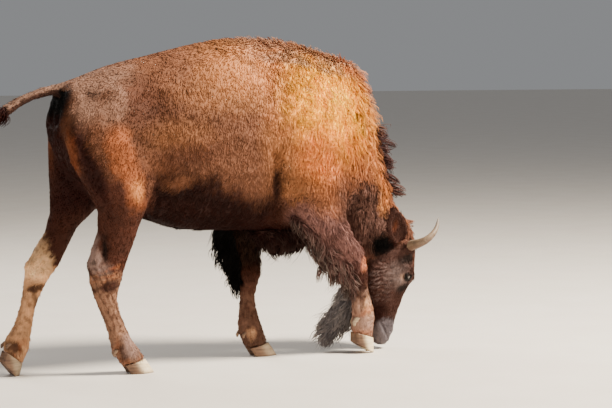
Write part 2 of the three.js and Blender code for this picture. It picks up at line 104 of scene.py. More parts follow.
# ---------------------------------------------------------------- shader maths
class Wire:
    """A socket that takes part in expressions. Each operator adds its node and gives the node's output."""

    def __init__(self, finish, socket):
        self.finish = finish
        self.socket = socket

    def maths(self, operation, *values):
        return self.finish.node("ShaderNodeMath", {"operation": operation}, values)

    def __add__(self, other):
        return self.maths("ADD", self, other)

    def __sub__(self, other):
        return self.maths("SUBTRACT", self, other)

    def __rsub__(self, other):
        return self.maths("SUBTRACT", other, self)

    def __mul__(self, other):
        return self.maths("MULTIPLY", self, other)

    __radd__ = __add__
    __rmul__ = __mul__


# The sockets of a Mix node that mixes colours, by number, because their names repeat.
MIX_SHARE, MIX_FIRST, MIX_SECOND, MIXED = 0, 6, 7, 2


class Finish:
    """A material under construction."""

    def __init__(self, name):
        self.material = bpy.data.materials.new(name)
        self.material.use_nodes = True
        self.tree = self.material.node_tree
        self.shader = self.tree.nodes["Principled BSDF"]

    def node(self, kind, settings=None, values=(), output=0):
        """Adds a node, sets SETTINGS on it, then fills its sockets from VALUES: by order, or by name."""
        made = self.tree.nodes.new(kind)
        for key, value in (settings or {}).items():
            setattr(made, key, value)
        pairs = values.items() if isinstance(values, dict) else enumerate(values)
        for key, value in pairs:
            self.fill(made.inputs[key], value)
        return Wire(self, made.outputs[output])

    def fill(self, socket, value):
        if isinstance(value, Wire):
            self.tree.links.new(value.socket, socket)
        elif value is not None:
            socket.default_value = value

    def set(self, **values):
        """Fills the shader's own sockets, such as base_color."""
        names = {s.name.lower().replace(" ", "_"): s for s in self.shader.inputs}
        for key, value in values.items():
            self.fill(names[key], value)

    def place(self):
        return self.node("ShaderNodeTexCoord", output="Object")

    def attribute(self, name):
        return self.node("ShaderNodeAttribute", {"attribute_name": name}, output="Color")

    def split(self, vector):
        parts = self.node("ShaderNodeSeparateXYZ", values=[vector])
        return [Wire(self, socket) for socket in parts.socket.node.outputs]

    def noise(self, vector, scale, detail=3.0, rough=0.55, stretch=(1, 1, 1)):
        if stretch != (1, 1, 1):
            vector = self.node("ShaderNodeMapping", values={"Vector": vector, "Scale": stretch})
        values = {"Vector": vector, "Scale": scale, "Detail": detail, "Roughness": rough}
        return self.node("ShaderNodeTexNoise", values=values)

    def ramp(self, value, low, high):
        """0 up to LOW, 1 from HIGH, and a smooth rise between them."""
        values = {"Value": value, "From Min": low, "From Max": high}
        return self.node("ShaderNodeMapRange", {"interpolation_type": "SMOOTHSTEP"}, values)

    def blend(self, share, first, second):
        """FIRST where SHARE is 0 and SECOND where it is 1."""
        first, second = (c if isinstance(c, Wire) else (*c, 1.0) for c in (first, second))
        values = {MIX_SHARE: share, MIX_FIRST: first, MIX_SECOND: second}
        return self.node("ShaderNodeMix", {"data_type": "RGBA"}, values, output=MIXED)

    def brighten(self, colour, amount):
        """A colour times a number that changes over the surface."""
        values = {"Vector": colour, "Scale": amount}
        return self.node("ShaderNodeVectorMath", {"operation": "SCALE"}, values)

    def bump(self, height, strength, distance):
        values = {"Height": height, "Strength": strength, "Distance": distance}
        return self.node("ShaderNodeBump", values=values)


def linear(red, green, blue):
    """A colour as seen on screen, from 0 to 255, as the light that gives it."""
    shares = (red / 255, green / 255, blue / 255)
    return tuple(c / 12.92 if c <= 0.0404 else ((c + 0.055) / 1.055) ** 2.4 for c in shares)


# ---------------------------------------------------------------- meshes
def select_only(*pieces):
    bpy.ops.object.select_all(action="DESELECT")
    for piece in pieces:
        piece.select_set(True)
    bpy.context.view_layer.objects.active = pieces[-1]


def node_copy(node):
    """A free copy of a CAD node, its loose triangles merged."""
    piece = NODES[node].copy()
    piece.data = NODES[node].data.copy()
    piece.data.materials.clear()
    piece.parent = None
    piece.matrix_world = Matrix.Identity(4)
    bpy.context.collection.objects.link(piece)
    select_only(piece)
    bpy.ops.object.mode_set(mode="EDIT")
    bpy.ops.mesh.select_all(action="SELECT")
    bpy.ops.mesh.remove_doubles(threshold=MERGED)
    bpy.ops.object.mode_set(mode="OBJECT")
    return piece


def joined(pieces, name):
    select_only(*pieces)
    if len(pieces) > 1:
        bpy.ops.object.join()
    piece = bpy.context.view_layer.objects.active
    piece.name = piece.data.name = name
    return piece


def modified(piece, kind, **settings):
    select_only(piece)
    modifier = piece.modifiers.new(kind.lower(), kind)
    for key, value in settings.items():
        setattr(modifier, key, value)
    bpy.ops.object.modifier_apply(modifier=modifier.name)


def smooth_shaded(piece):
    piece.data.polygons.foreach_set("use_smooth", np.ones(len(piece.data.polygons), bool))
    piece.data.update()


def subdivided(piece, chosen):
    """Halves the edges of the faces whose corners are all CHOSEN, a flag for each point."""
    select_only(piece)
    mesh = piece.data
    corners = numbers(mesh.loops, "vertex_index", 1, np.int32)
    starts = numbers(mesh.polygons, "loop_start", 1, np.int32)
    inside = np.logical_and.reduceat(chosen[corners], starts)
    mesh.vertices.foreach_set("select", np.zeros(len(mesh.vertices), bool))
    mesh.edges.foreach_set("select", np.zeros(len(mesh.edges), bool))
    mesh.polygons.foreach_set("select", inside)
    bpy.ops.object.mode_set(mode="EDIT")
    bpy.ops.mesh.select_mode(type="FACE")
    bpy.ops.mesh.subdivide()
    bpy.ops.object.mode_set(mode="OBJECT")


def numbers(collection, name, width, kind=np.float32):
    found = np.empty(len(collection) * width, kind)
    collection.foreach_get(name, found)
    return found.reshape(-1, width) if width > 1 else found


def unit(vectors):
    return vectors / np.maximum(np.linalg.norm(vectors, axis=-1, keepdims=True), 1e-9)


def on_side(places, side):
    """PLACES, given for the left side, on the side whose y has the sign of SIDE."""
    return np.array(places) * [1, side, 1]


def along_line(points, line):
    """How far along LINE each point lies, from 0 to 1, and its distance from the line."""
    steps = np.linalg.norm(np.diff(line, axis=0), axis=1)
    reached = np.concatenate([[0], np.cumsum(steps)])
    best = np.full(len(points), np.inf)
    found = np.zeros(len(points))
    for index, (start, end) in enumerate(zip(line, line[1:])):
        way = end - start
        share = ((points - start) @ way / (way @ way)).clip(0, 1)
        away = np.linalg.norm(points - start - share[:, None] * way, axis=1)
        closer = away < best
        best[closer] = away[closer]
        found[closer] = (reached[index] + share * steps[index])[closer]
    return found / reached[-1], best


class Surface:
    """A mesh's points, normals and edges as arrays, to be moved as a whole."""

    def __init__(self, piece):
        self.piece = piece
        self.mesh = piece.data
        self.read()

    def read(self):
        self.points = numbers(self.mesh.vertices, "co", 3).astype(float)
        self.normals = numbers(self.mesh.vertices, "normal", 3).astype(float)
        self.edges = numbers(self.mesh.edges, "vertices", 2, np.int32)
        self.links = np.bincount(self.edges.ravel(), minlength=len(self.points)).clip(1)

    def write(self):
        self.mesh.vertices.foreach_set("co", self.points.astype(np.float32).ravel())
        self.mesh.update()
        self.read()

    def averaged(self, values):
        """Each point's mean of its neighbours."""
        first, second = self.edges.T
        columns = values.reshape(len(values), -1).T
        summed = [
            np.bincount(first, c[second], len(values)) + np.bincount(second, c[first], len(values))
            for c in columns
        ]
        return (np.stack(summed, 1) / self.links[:, None]).reshape(values.shape)

    def softened(self, values, times):
        for _ in range(times):
            values = 0.4 * values + 0.6 * self.averaged(values)
        return values

    def relax(self, times):
        """Smooths the shape without shrinking it: each step in is followed by a slightly longer one out."""
        for _ in range(times):
            for step in (0.5, -0.52):
                self.points += step * (self.averaged(self.points) - self.points)
        self.write()

    def swell(self, centre, radii, height, only=1.0):
        """Raises a soft mound, or with a height below zero presses a hollow."""
        away = np.linalg.norm((self.points - centre) / radii, axis=1)
        self.points += self.normals * (np.exp(-(away**2)) * height * only)[:, None]

    def groove(self, route, radius, depth, only=1.0):
        """Presses a soft groove along a route of points."""
        _, away = along_line(self.points, np.asarray(route))
        self.points -= self.normals * (np.exp(-((away / radius) ** 2)) * depth * only)[:, None]

    def mould(self, side, forms, folds, only=1.0):
        """Swells FORMS and presses FOLDS, both given for the left side, on the side that SIDE says."""
        for middle, radii, height in forms:
            self.swell(on_side(middle, side), radii, height, only)
        for route, radius, depth in folds:
            self.groove(on_side(route, side), radius, depth, only)


RIPPLE_WAVES = 9
RIPPLE_HEIGHT = 3.2  # what so many waves seldom add up to more than


def ripple(points, scale, seed):
    """Smooth noise from about -1 to 1, with features about SCALE metres across. SEED picks one of many."""
    rng = np.random.default_rng(seed)
    total = np.zeros(len(points))
    for _ in range(RIPPLE_WAVES):
        way = unit(rng.normal(size=3)) * 2 * np.pi / scale * rng.uniform(0.5, 1.5)
        total += np.sin(points @ way + rng.uniform(0, 2 * np.pi))
    return total / RIPPLE_HEIGHT


def smooth_step(values, low, high):
    share = ((values - low) / (high - low)).clip(0, 1)
    return share * share * (3 - 2 * share)


# ---------------------------------------------------------------- the skin
EYE = np.array([1.026, 0.100, 0.362])
EYE_RADIUS = 0.0205
NOSTRIL = np.array([0.976, 0.046, 0.098])
VOXEL = 0.012
GAP_COVER = 0.0006  # each node grows by this, so that the gaps between them close
MERGED = 1e-5  # corners of a node that are nearer to each other than this become one
DETAIL_REACH = (0.060, 0.045)  # the mesh is refined twice round the eyes and nostrils, so far out
SHANKS = tuple(name for name in LEG_LENGTHS if name.endswith("lower"))
REFINED = ("head",) + SHANKS

# For each part of the body: the coat's depth over the skin, the length and width of its tufts, how far
# they rise as a share of their length, how much they wave, in metres, how many grow on a square metre,
# and which way they lie.
COAT = {
    "hindquarters": (0.003, 0.019, 0.0052, 0.12, 0.0004, 19500, (-0.60, 0, -0.80)),
    "barrel": (0.003, 0.022, 0.0052, 0.13, 0.0008, 22000, (-0.25, 0, -0.97)),
    "forequarters": (0.009, 0.025, 0.0047, 0.40, 0.0030, 27000, (-0.20, 0, -1.0)),
    "neck": (0.018, 0.046, 0.0066, 0.45, 0.0065, 14000, (-0.10, 0, -1.0)),
    "head": (0.003, 0.019, 0.0031, 0.14, 0.0010, 42000, (-0.30, 0, -0.95)),
    "foreleg_right_upper": (0.014, 0.058, 0.0060, 0.26, 0.0040, 18000, (0.45, 0, -0.90)),
    "foreleg_left_upper": (0.012, 0.050, 0.0060, 0.26, 0.0040, 18000, (-0.05, 0, -1.0)),
    "foreleg_right_lower": (0.002, 0.013, 0.0033, 0.16, 0.0005, 26000, (0.10, 0, -1.0)),
    "foreleg_left_lower": (0.002, 0.013, 0.0033, 0.16, 0.0005, 26000, (-0.02, 0, -1.0)),
    "hindleg_right_upper": (0.003, 0.017, 0.0043, 0.14, 0.0008, 17000, (-0.10, 0, -1.0)),
    "hindleg_left_upper": (0.003, 0.017, 0.0043, 0.14, 0.0008, 17000, (-0.50, 0, -0.85)),
    "hindleg_right_lower": (0.002, 0.013, 0.0033, 0.16, 0.0005, 22000, (0.25, 0, -1.0)),
    "hindleg_left_lower": (0.002, 0.013, 0.0033, 0.16, 0.0005, 22000, (-0.35, 0, -0.95)),
    "tail": (0.003, 0.018, 0.0032, 0.20, 0.0006, 24000, (-0.95, 0, -0.35)),
    "chaps_right": (0.016, 0.080, 0.0054, 0.30, 0.0070, 14000, (0.25, 0, -0.97)),
    "chaps_left": (0.016, 0.080, 0.0054, 0.30, 0.0070, 14000, (-0.20, 0, -0.97)),
    "beard": (0.024, 0.088, 0.0052, 0.26, 0.0080, 14000, (-0.60, 0, -0.80)),
    "brisket_fringe": (0.026, 0.080, 0.0056, 0.30, 0.0080, 14000, (-0.05, 0, -1.0)),
    "tail_tuft": (0.010, 0.080, 0.0054, 0.18, 0.0050, 14000, (-0.45, 0, -0.90)),
    "ear_right": (0.0025, 0.017, 0.0030, 0.30, 0.0015, 40000, (-0.35, -0.45, 0.85)),
    "ear_left": (0.0025, 0.017, 0.0030, 0.30, 0.0015, 40000, (-0.35, 0.45, 0.85)),
}
COAT_FIELDS = ("depth", "length", "width", "rise", "wave", "density", "lie")
SOFTENING = 36  # rounds of averaging, so that the coat changes gradually from one part to the next


def nearest_part(points):
    """The number, in FLESH, of the part that each point lies on."""
    corners, faces, owner = [], [], []
    for number, name in enumerate(FLESH):
        mesh = NODES[name].data
        mesh.calc_loop_triangles()
        faces += [[v + len(corners) for v in t.vertices] for t in mesh.loop_triangles]
        owner += [number] * len(mesh.loop_triangles)
        corners += [v.co[:] for v in mesh.vertices]
    tree = BVHTree.FromPolygons(corners, faces)
    return np.array([owner[tree.find_nearest(point)[2]] for point in points])


def make_skin():
    pieces = [node_copy(name) for name in FLESH]
    for piece in pieces:
        surface = Surface(piece)
        surface.points += surface.normals * GAP_COVER
        surface.write()
    skin = joined(pieces, "skin")
    modified(skin, "REMESH", mode="VOXEL", voxel_size=VOXEL)
    surface = Surface(skin)
    surface.relax(5)
    part = nearest_part(surface.points)
    subdivided(skin, np.isin(part, [PARTS.index(name) for name in REFINED]))
    surface = Surface(skin)
    surface.relax(3)
    for reach in DETAIL_REACH:
        detail = [np.linalg.norm(np.abs(surface.points) - place, axis=1) < reach for place in (EYE, NOSTRIL)]
        subdivided(skin, np.logical_or(*detail))
        surface = Surface(skin)
        surface.relax(1)
    return surface


EAR_SPINE = np.array([(0.972, 0.112, 0.536), (0.916, 0.200, 0.712)])
BEARD_ROOT = np.array([0.93, 0.0, 0.50])  # the beard's hair spreads away from here


class ByPart:
    """Values at points that each lie on a part of the body, given by its number in PARTS."""

    def on(self, *names):
        """1 on the named parts and 0 elsewhere."""
        return np.isin(self.part, [PARTS.index(name) for name in names]).astype(float)


class Coat(ByPart):
    """What grows at each point of the skin, by the part of the body that it lies on."""

    def __init__(self, surface, only=None):
        """ONLY is the name of the one part that the whole surface belongs to, if there is one."""
        self.surface = surface
        if only is None:
            self.part = nearest_part(surface.points)
        else:
            self.part = np.full(len(surface.points), PARTS.index(only))
        for index, field in enumerate(COAT_FIELDS):
            by_part = np.array([COAT[name][index] for name in PARTS], float)
            setattr(self, field, by_part[self.part])
        if only is None:
            self.along_the_body()
        if only == "beard":
            self.lie = unit(surface.points - BEARD_ROOT)
        for field in COAT_FIELDS:
            setattr(self, field, surface.softened(getattr(self, field), SOFTENING))
        if only in EARS:
            rim = 1 - smooth_step(np.abs(surface.normals @ ear_opening(only)), 0.25, 0.65)
            self.length += 0.030 * rim
            self.rise += 0.45 * rim

    def add(self, share, **changes):
        """Adds a change to each of the named fields, in full where SHARE is 1 and not where it is 0."""
        for field, change in changes.items():
            values = getattr(self, field)
            share_of_each = share[:, None] if values.ndim > 1 else share
            setattr(self, field, values + np.array(change) * share_of_each)

    def lessen(self, share, **losses):
        """Takes a share off each of the named fields."""
        for field, loss in losses.items():
            setattr(self, field, getattr(self, field) * (1 - loss * share))

    def along_the_body(self):
        """What changes within a part."""
        x, _, z = self.surface.points.T
        head = self.on("head")
        poll = head * smooth_step(z, 0.48, 0.56)
        self.add(poll, depth=0.020, length=0.030, width=0.0026, rise=0.35, wave=0.007)
        self.add(poll, density=-10000, lie=(0.5, 0, 0.4))
        self.add(cheek_share(self.surface.points) * head, lie=(-0.5, 0, 0.3))
        muzzle = head * smooth_step(0.20 - z, 0.0, 0.08)
        self.add(muzzle, length=-0.008, width=-0.0010, depth=-0.001)
        belly = self.on("barrel", "hindquarters") * smooth_step(0.82 - z, 0.0, 0.15)
        self.add(belly, length=0.016, wave=0.001)
        elbow = self.on("forequarters") * smooth_step(0.80 - z, 0.0, 0.12)
        self.add(elbow, length=0.010, rise=-0.20, lie=(0.75, 0, 0.15))
        nape = self.on("neck") * smooth_step(x - 0.80 - 0.25 * (1.3 - z), 0.0, 0.10)
        self.add(nape, length=0.012, lie=(1.3, 0, 0.35))
        coronet = self.on(*SHANKS) * smooth_step(0.13 - z, 0, 0.03)
        self.add(coronet, length=0.012)
        knee = self.on("foreleg_right_upper") * smooth_step(x - 0.55 * (z - 0.46), 0.700, 0.735)
        self.lessen(knee, length=0.72, depth=0.7, rise=0.4)
        _, from_ear = along_line(np.abs(self.surface.points), EAR_SPINE)
        self.lessen(1 - smooth_step(from_ear, 0.050, 0.110), length=0.5, rise=0.6)
        withers = self.on("forequarters", "barrel") * smooth_step(z, 1.38, 1.50)
        self.add(withers, lie=(-0.6, 0, 0.4))
        ahead, _, up = self.surface.normals.T
        front = smooth_step(ahead, 0.55, 0.85) * smooth_step(z, 1.05, 1.2)
        crest = np.maximum(smooth_step(up, 0.60, 0.90), front)
        crest *= self.on("forequarters", "barrel", "neck") * smooth_step(x, -0.10, 0.25) * (z > 1.0)
        self.add(crest, depth=0.008, length=0.010, rise=0.40)
        from_eye = np.linalg.norm(np.abs(self.surface.points) - EYE, axis=1)
        self.density *= smooth_step(from_eye, 0.024, 0.036)


# For each form of the trunk: its middle on the left side, its radii and its height.
TRUNK_FORMS = (
    ((-0.47, 0.205, 1.270), (0.050, 0.06, 0.045), 0.015),  # hook bone
    ((-0.70, 0.09, 1.16), (0.040, 0.05, 0.05), 0.012),  # pin bone
    ((-0.33, 0.24, 1.24), (0.075, 0.12, 0.085), -0.020),  # hollow of the flank
    ((-0.60, 0.17, 1.27), (0.050, 0.08, 0.07), -0.010),  # beside the tail root
    ((-0.47, 0.24, 1.03), (0.085, 0.08, 0.12), 0.014),  # muscle of the thigh
    ((-0.62, 0.20, 1.00), (0.045, 0.08, 0.15), -0.008),  # behind it
    ((0.52, 0.24, 1.10), (0.10, 0.08, 0.20), 0.010),  # shoulder blade
    ((0.60, 0.22, 0.80), (0.09, 0.08, 0.10), 0.012),  # upper arm
    ((0.90, 0.13, 0.54), (0.055, 0.06, 0.04), -0.022),  # behind the jaw
    ((0.91, 0.17, 0.64), (0.060, 0.08, 0.08), -0.030),  # behind the ear
)
# For each of its folds: its route on the left side, its radius and its depth.
TRUNK_FOLDS = (
    ([(0.262, 0.27, 0.98), (0.270, 0.26, 0.88), (0.285, 0.25, 0.76)], 0.026, 0.020),  # behind the elbow
    ([(-0.275, 0.27, 0.99), (-0.30, 0.26, 0.92), (-0.37, 0.25, 0.86)], 0.022, 0.018),  # before the stifle
    ([(-0.66, 0.15, 1.17), (-0.655, 0.19, 1.02), (-0.60, 0.21, 0.86)], 0.022, 0.012),  # behind the thigh
    ([(-0.69, 0.035, 1.29), (-0.73, 0.045, 1.17)], 0.028, 0.022),  # under the tail
)


def shape_trunk(surface):
    for side in SIDES.values():
        surface.mould(side, TRUNK_FORMS, TRUNK_FOLDS)
    surface.write()


# For each hind leg: the y of its middle, then in x and z the hollow over the hock, the point of the hock, the
# tendon behind the shank, and the bones of the hock's joint.
HOCKS = {
    "hindleg_right": (
        -0.124,
        (-0.558, 0.600),
        (-0.612, 0.520),
        [(-0.575, 0.420), (-0.545, 0.30), (-0.510, 0.20)],
        (-0.520, 0.490),
    ),
    "hindleg_left": (
        0.118,
        (-0.735, 0.600),
        (-0.838, 0.505),
        [(-0.835, 0.400), (-0.865, 0.30), (-0.890, 0.22)],
        (-0.770, 0.475),
    ),
}
# For each foreleg: the middle of its knee, the y of its shank, and the shank's grooves in x and z.
KNEES = {
    "foreleg_right": ((0.792, -0.126, 0.395), -0.108, [(0.745, 0.345), (0.750, 0.27), (0.755, 0.215)]),
    "foreleg_left": ((0.335, 0.108, 0.400), 0.090, [(0.240, 0.33), (0.238, 0.27), (0.240, 0.20)]),
}
SHANK_FOLD_HEIGHT = 0.0014


def shape_legs(surface, coat):
    for leg, (y, hollow, point, tendon, joint) in HOCKS.items():
        only = coat.on(f"{leg}_lower", f"{leg}_upper")
        for side in (-0.05, 0.05):  # on both faces of the leg, so far from its middle
            surface.swell((hollow[0], y + side, hollow[1]), (0.020, 0.03, 0.06), -0.014, only)
            surface.swell((joint[0], y + side, joint[1]), (0.028, 0.03, 0.032), 0.006, only)
            for shift, depth in ((0.022, 0.006), (0.046, 0.004)):
                route = [(x + shift, y + side * 0.6, z) for x, z in tendon]
                surface.groove(route, 0.008, depth, only)
        surface.swell((point[0], y, point[1]), (0.025, 0.03, 0.03), 0.008, only)
    for leg, (bone, y, route) in KNEES.items():
        only = coat.on(f"{leg}_lower", f"{leg}_upper")
        surface.swell(bone, (0.03, 0.05, 0.05), 0.006, only)
        for side in (-0.03, 0.03):
            surface.groove([(x, y + side, z) for x, z in route], 0.009, 0.006, only)
    wrinkled = surface.softened(coat.on(*SHANKS), 4)
    folds = ripple(surface.points * [1, 1, 2.2], 0.035, 31) * SHANK_FOLD_HEIGHT * wrinkled
    surface.points += surface.normals * folds[:, None]
    surface.write()


def cheek_share(points):
    """1 on the cheeks, where the hair lies in waves, and 0 away from them."""
    x, _, z = points.T
    away = np.hypot((x - 0.895) / 0.085, (z - 0.345) / 0.125)
    return 1 - smooth_step(away, 0.6, 1.1)


CHEEK_WAVE_LENGTH = 0.021
CHEEK_WAVE_HEIGHT = 0.0016


def cheek_waves(points):
    """Crests and troughs of the cheeks' waves, from 1 to -1."""
    x, _, z = points.T
    bend = 0.9 * ripple(points, 0.09, 41) + 0.5 * ripple(points, 0.04, 42)
    return np.sin((z + 0.10 * x) * 2 * np.pi / CHEEK_WAVE_LENGTH + 2.2 * bend) * cheek_share(points)


# As for the trunk.
FACE_FORMS = (
    ((1.026, 0.106, 0.364), (0.036, 0.04, 0.042), 0.011),  # socket of the eye
    ((1.040, 0.108, 0.405), (0.035, 0.03, 0.020), 0.007),  # brow
    ((0.900, 0.105, 0.400), (0.060, 0.05, 0.080), 0.007),  # cheek
    ((1.005, 0.100, 0.308), (0.022, 0.03, 0.022), -0.007),  # tear groove
    ((0.985, 0.085, 0.230), (0.030, 0.03, 0.060), -0.005),  # side of the nose
    ((0.900, 0.060, 0.200), (0.030, 0.03, 0.040), -0.004),  # before the cheek
    ((0.978, 0.050, 0.100), (0.024, 0.022, 0.026), 0.007),  # wing of the nostril
)
NOSTRIL_ROUTE = [(0.985, 0.043, 0.112), (0.978, 0.052, 0.098), (0.966, 0.054, 0.086)]
MOUTH_ROUTE = [(0.962, 0.0, 0.012), (0.950, 0.040, 0.040), (0.930, 0.056, 0.085), (0.905, 0.060, 0.135)]
FACE_FOLDS = ((NOSTRIL_ROUTE, 0.0075, 0.014), (MOUTH_ROUTE, 0.0060, 0.005))
LOWER_LIP = ((0.905, 0.055, 0.095), (0.020, 0.02, 0.030), 0.004)


def shape_face(surface, coat):
    head = coat.on("head")
    for side in SIDES.values():
        surface.mould(side, FACE_FORMS, FACE_FOLDS, head)
        surface.mould(side, [LOWER_LIP], [], head)
    surface.points += surface.normals * (cheek_waves(surface.points) * head * CHEEK_WAVE_HEIGHT)[:, None]
    surface.write()
    for side in SIDES.values():
        shape_eye(surface, side)
    surface.write()


GAZE = unit(np.array([0.30, 0.95, 0.05]))  # of the left eye
LID = 0.0028  # thickness of an eyelid
LID_RIM = 0.002  # how much thicker it is along its edge
LID_CREASE = 0.003
BEHIND_LIDS = 0.010  # how far behind the front of the ball the skin passes
LID_SHOULDER = 0.8  # share of the lids' radius beyond which they run straight down into the face
EYE_SLIT = (0.0150, 0.0100)  # half the length and half the height of the opening


def shape_eye(surface, side):
    """Opens the lids: within their slit the skin passes behind the eyeball, and elsewhere it covers it."""
    out = on_side(GAZE, side)
    along = unit(np.cross(out, np.cross(np.array([0.15, 0, 1.0]), out)))
    across = np.cross(out, along)
    away = surface.points - on_side(EYE, side)
    u, v, w = away @ along, away @ across, away @ out
    opening = np.sqrt((u / EYE_SLIT[0]) ** 2 + (v / EYE_SLIT[1]) ** 2)
    flat = np.hypot(u, v)
    ball = np.sqrt(np.maximum(EYE_RADIUS**2 - flat**2, 0))
    near = (w > -0.02) & (flat < 0.05)  # so that the far side of the head stays as it is
    shell = EYE_RADIUS + LID
    shoulder = LID_SHOULDER * shell
    slope = LID_SHOULDER / math.sqrt(1 - LID_SHOULDER**2)
    dome = np.sqrt(np.maximum(shell**2 - np.minimum(flat, shoulder) ** 2, 0))
    dome -= slope * np.maximum(flat - shoulder, 0)
    dome += LID_RIM * np.exp(-(((opening - 1.25) / 0.3) ** 2))
    raised = np.where(near & (opening >= 1.0), np.maximum(w, dome), w)
    raised = np.where(near & (opening < 1.0), ball - BEHIND_LIDS, raised)
    crease = near * np.exp(-(((flat - EYE_RADIUS * 1.45) / 0.005) ** 2)) * LID_CREASE
    surface.points += out * (raised - w - crease)[:, None]


# ---------------------------------------------------------------- markings
TONES = {
    "hump": (200, 130, 76),
    "ridge": (166, 124, 100),
    "cape": (255, 184, 46),
    "amber": (222, 132, 66),
    "tan": (162, 106, 68),
    "cape_low": (178, 110, 72),
    "barrel": (112, 72, 52),
    "barrel_top": (122, 78, 55),
    "rump": (99, 61, 42),
    "moult_and_sheen": (142, 106, 88),
    "dark_patch": (72, 40, 28),
    "thigh": (158, 89, 52),
    "black": (5, 3, 2),
    "dark": (40, 12, 7),
    "belly": (34, 9, 4),
    "neck": (156, 96, 62),
    "mane": (64, 42, 42),
    "collar": (94, 66, 58),
    "poll": (146, 98, 78),
    "head": (66, 42, 36),
    "face_grey": (152, 132, 128),
    "muzzle": (92, 84, 88),
    "leg": (66, 34, 23),
    "forearm_sheen": (130, 92, 86),
    "knee": (186, 116, 86),
    "cannon": (140, 102, 80),
    "cannon_dark": (98, 68, 54),
    "cream": (250, 200, 150),
    "pale": (208, 156, 114),
    "skin": (150, 122, 112),
    "rust": (150, 78, 42),
    "tail": (132, 100, 84),
    "beard": (92, 88, 92),
}
TONES = {name: linear(*seen) for name, seen in TONES.items()}


class Paint(ByPart):
    """Colours laid over one another on points of the coat. A patch is an ellipse seen from the side."""

    def __init__(self, points, part, normals):
        self.points = points
        self.part = part
        self.normals = normals
        self.colour = np.tile(TONES["barrel"], (len(points), 1))
        self.ragged = ripple(points, 0.09, 5) * 0.6 + ripple(points, 0.035, 6) * 0.4

    def lay(self, tone, share):
        share = np.asarray(share, float).clip(0, 1)[:, None]
        self.colour = self.colour * (1 - share) + np.array(TONES[tone]) * share

    def patch(self, tone, centre, radii, tilt, strength, soft, ragged=0.12, only=1.0):
        """An ellipse with its middle and radii in x and z, turned by TILT degrees from +X towards +Z. SOFT is
        the width of its edge and RAGGED how uneven it is, as shares of the radii."""
        x, z = self.points[:, 0] - centre[0], self.points[:, 2] - centre[1]
        c, s = math.cos(math.radians(tilt)), math.sin(math.radians(tilt))
        away = np.hypot((x * c + z * s) / radii[0], (z * c - x * s) / radii[1]) + self.ragged * ragged
        self.lay(tone, (1 - smooth_step(away, 1 - soft, 1 + soft)) * strength * only)

    def patches(self, only, *rows):
        """Patches that lie on the same parts, each as patch takes it."""
        for row in rows:
            self.patch(*row, only=only)


# Painted shadows in the gaps between the locks of the mane: their middles and radii in x and z, and how they
# slant.
NECK_SHADOWS = (
    ((0.745, 1.175), (0.034, 0.006), 22),
    ((0.770, 1.115), (0.038, 0.006), 28),
    ((0.715, 1.145), (0.022, 0.005), 24),
    ((0.872, 0.965), (0.016, 0.009), 10),
    ((0.885, 0.900), (0.018, 0.009), 5),
    ((0.905, 0.850), (0.014, 0.007), 0),
)


def paint_barrel(paint):
    x = paint.points[:, 0]
    paint.lay("rump", paint.on(*TRUNK, "tail") * smooth_step(-x + 0.04 * paint.ragged, 0.05, 0.40))
    paint.patches(
        1.0,
        ("barrel_top", (-0.10, 1.41), (0.36, 0.12), 8, 0.9, 0.6),
        ("tan", (0.06, 1.29), (0.22, 0.09), 0, 0.75, 0.7),
        ("tan", (-0.22, 1.11), (0.15, 0.06), 0, 0.45, 0.7, 0.3),
    )


def paint_cape(paint):
    x, _, z = paint.points.T
    ragged = paint.ragged
    trunk = paint.on(*TRUNK, "tail")
    edge = x - 0.06 - 0.22 * smooth_step(1.25 - z, 0, 0.5)
    paint.lay("cape_low", trunk * smooth_step(edge + 0.06 * ragged, 0.10, 0.36))
    paint.patches(
        1.0,
        ("hump", (0.22, 1.42), (0.24, 0.13), 4, 0.75, 0.7),
        ("hump", (0.34, 1.16), (0.12, 0.26), 0, 0.6, 0.8),
        ("cape", (0.55, 1.23), (0.19, 0.22), 24, 1.0, 0.5),
        ("cape", (0.70, 1.12), (0.14, 0.18), 8, 0.95, 0.5),
        ("amber", (0.50, 0.98), (0.11, 0.13), 10, 0.8, 0.6),
        ("amber", (0.72, 0.99), (0.12, 0.10), -35, 0.6, 0.6),
    )
    paint.patch("hump", (0.84, 1.05), (0.06, 0.16), 18, 0.6, 0.5, only=paint.on("neck", "forequarters"))
    streaks = smooth_step(ripple(paint.points * [1, 0.5, 0.12], 0.030, 24), 0.1, 1.1)
    cape = smooth_step(x, 0.30, 0.42) * smooth_step(z, 0.86, 0.96)
    paint.lay("amber", trunk * cape * streaks * 0.45)
    top = smooth_step(paint.normals[:, 2] - 0.15 * ragged, 0.45, 0.80)
    paint.lay("ridge", trunk * top * smooth_step(x, 0.05, 0.35) * 0.8)
    brow_of_hump = smooth_step(paint.normals[:, 0], 0.60, 0.9) * smooth_step(z, 1.15, 1.25)
    paint.lay("ridge", trunk * brow_of_hump * 0.6)


def paint_rump(paint):
    # The pale patches are moult, partly painted sheen; the long one along the top is painted light on the top
    # of the rump.
    paint.patches(
        1.0,
        ("dark_patch", (-0.38, 1.25), (0.11, 0.14), 20, 0.6, 0.5, 0.2),
        ("moult_and_sheen", (-0.505, 1.245), (0.065, 0.095), -15, 0.6, 0.45, 0.4),
        ("moult_and_sheen", (-0.62, 1.24), (0.055, 0.09), -20, 0.8, 0.5, 0.3),
        ("dark_patch", (-0.655, 1.12), (0.035, 0.05), 0, 0.6, 0.6, 0.3),
        ("moult_and_sheen", (-0.54, 1.355), (0.17, 0.05), 15, 0.75, 0.5, 0.2),
    )


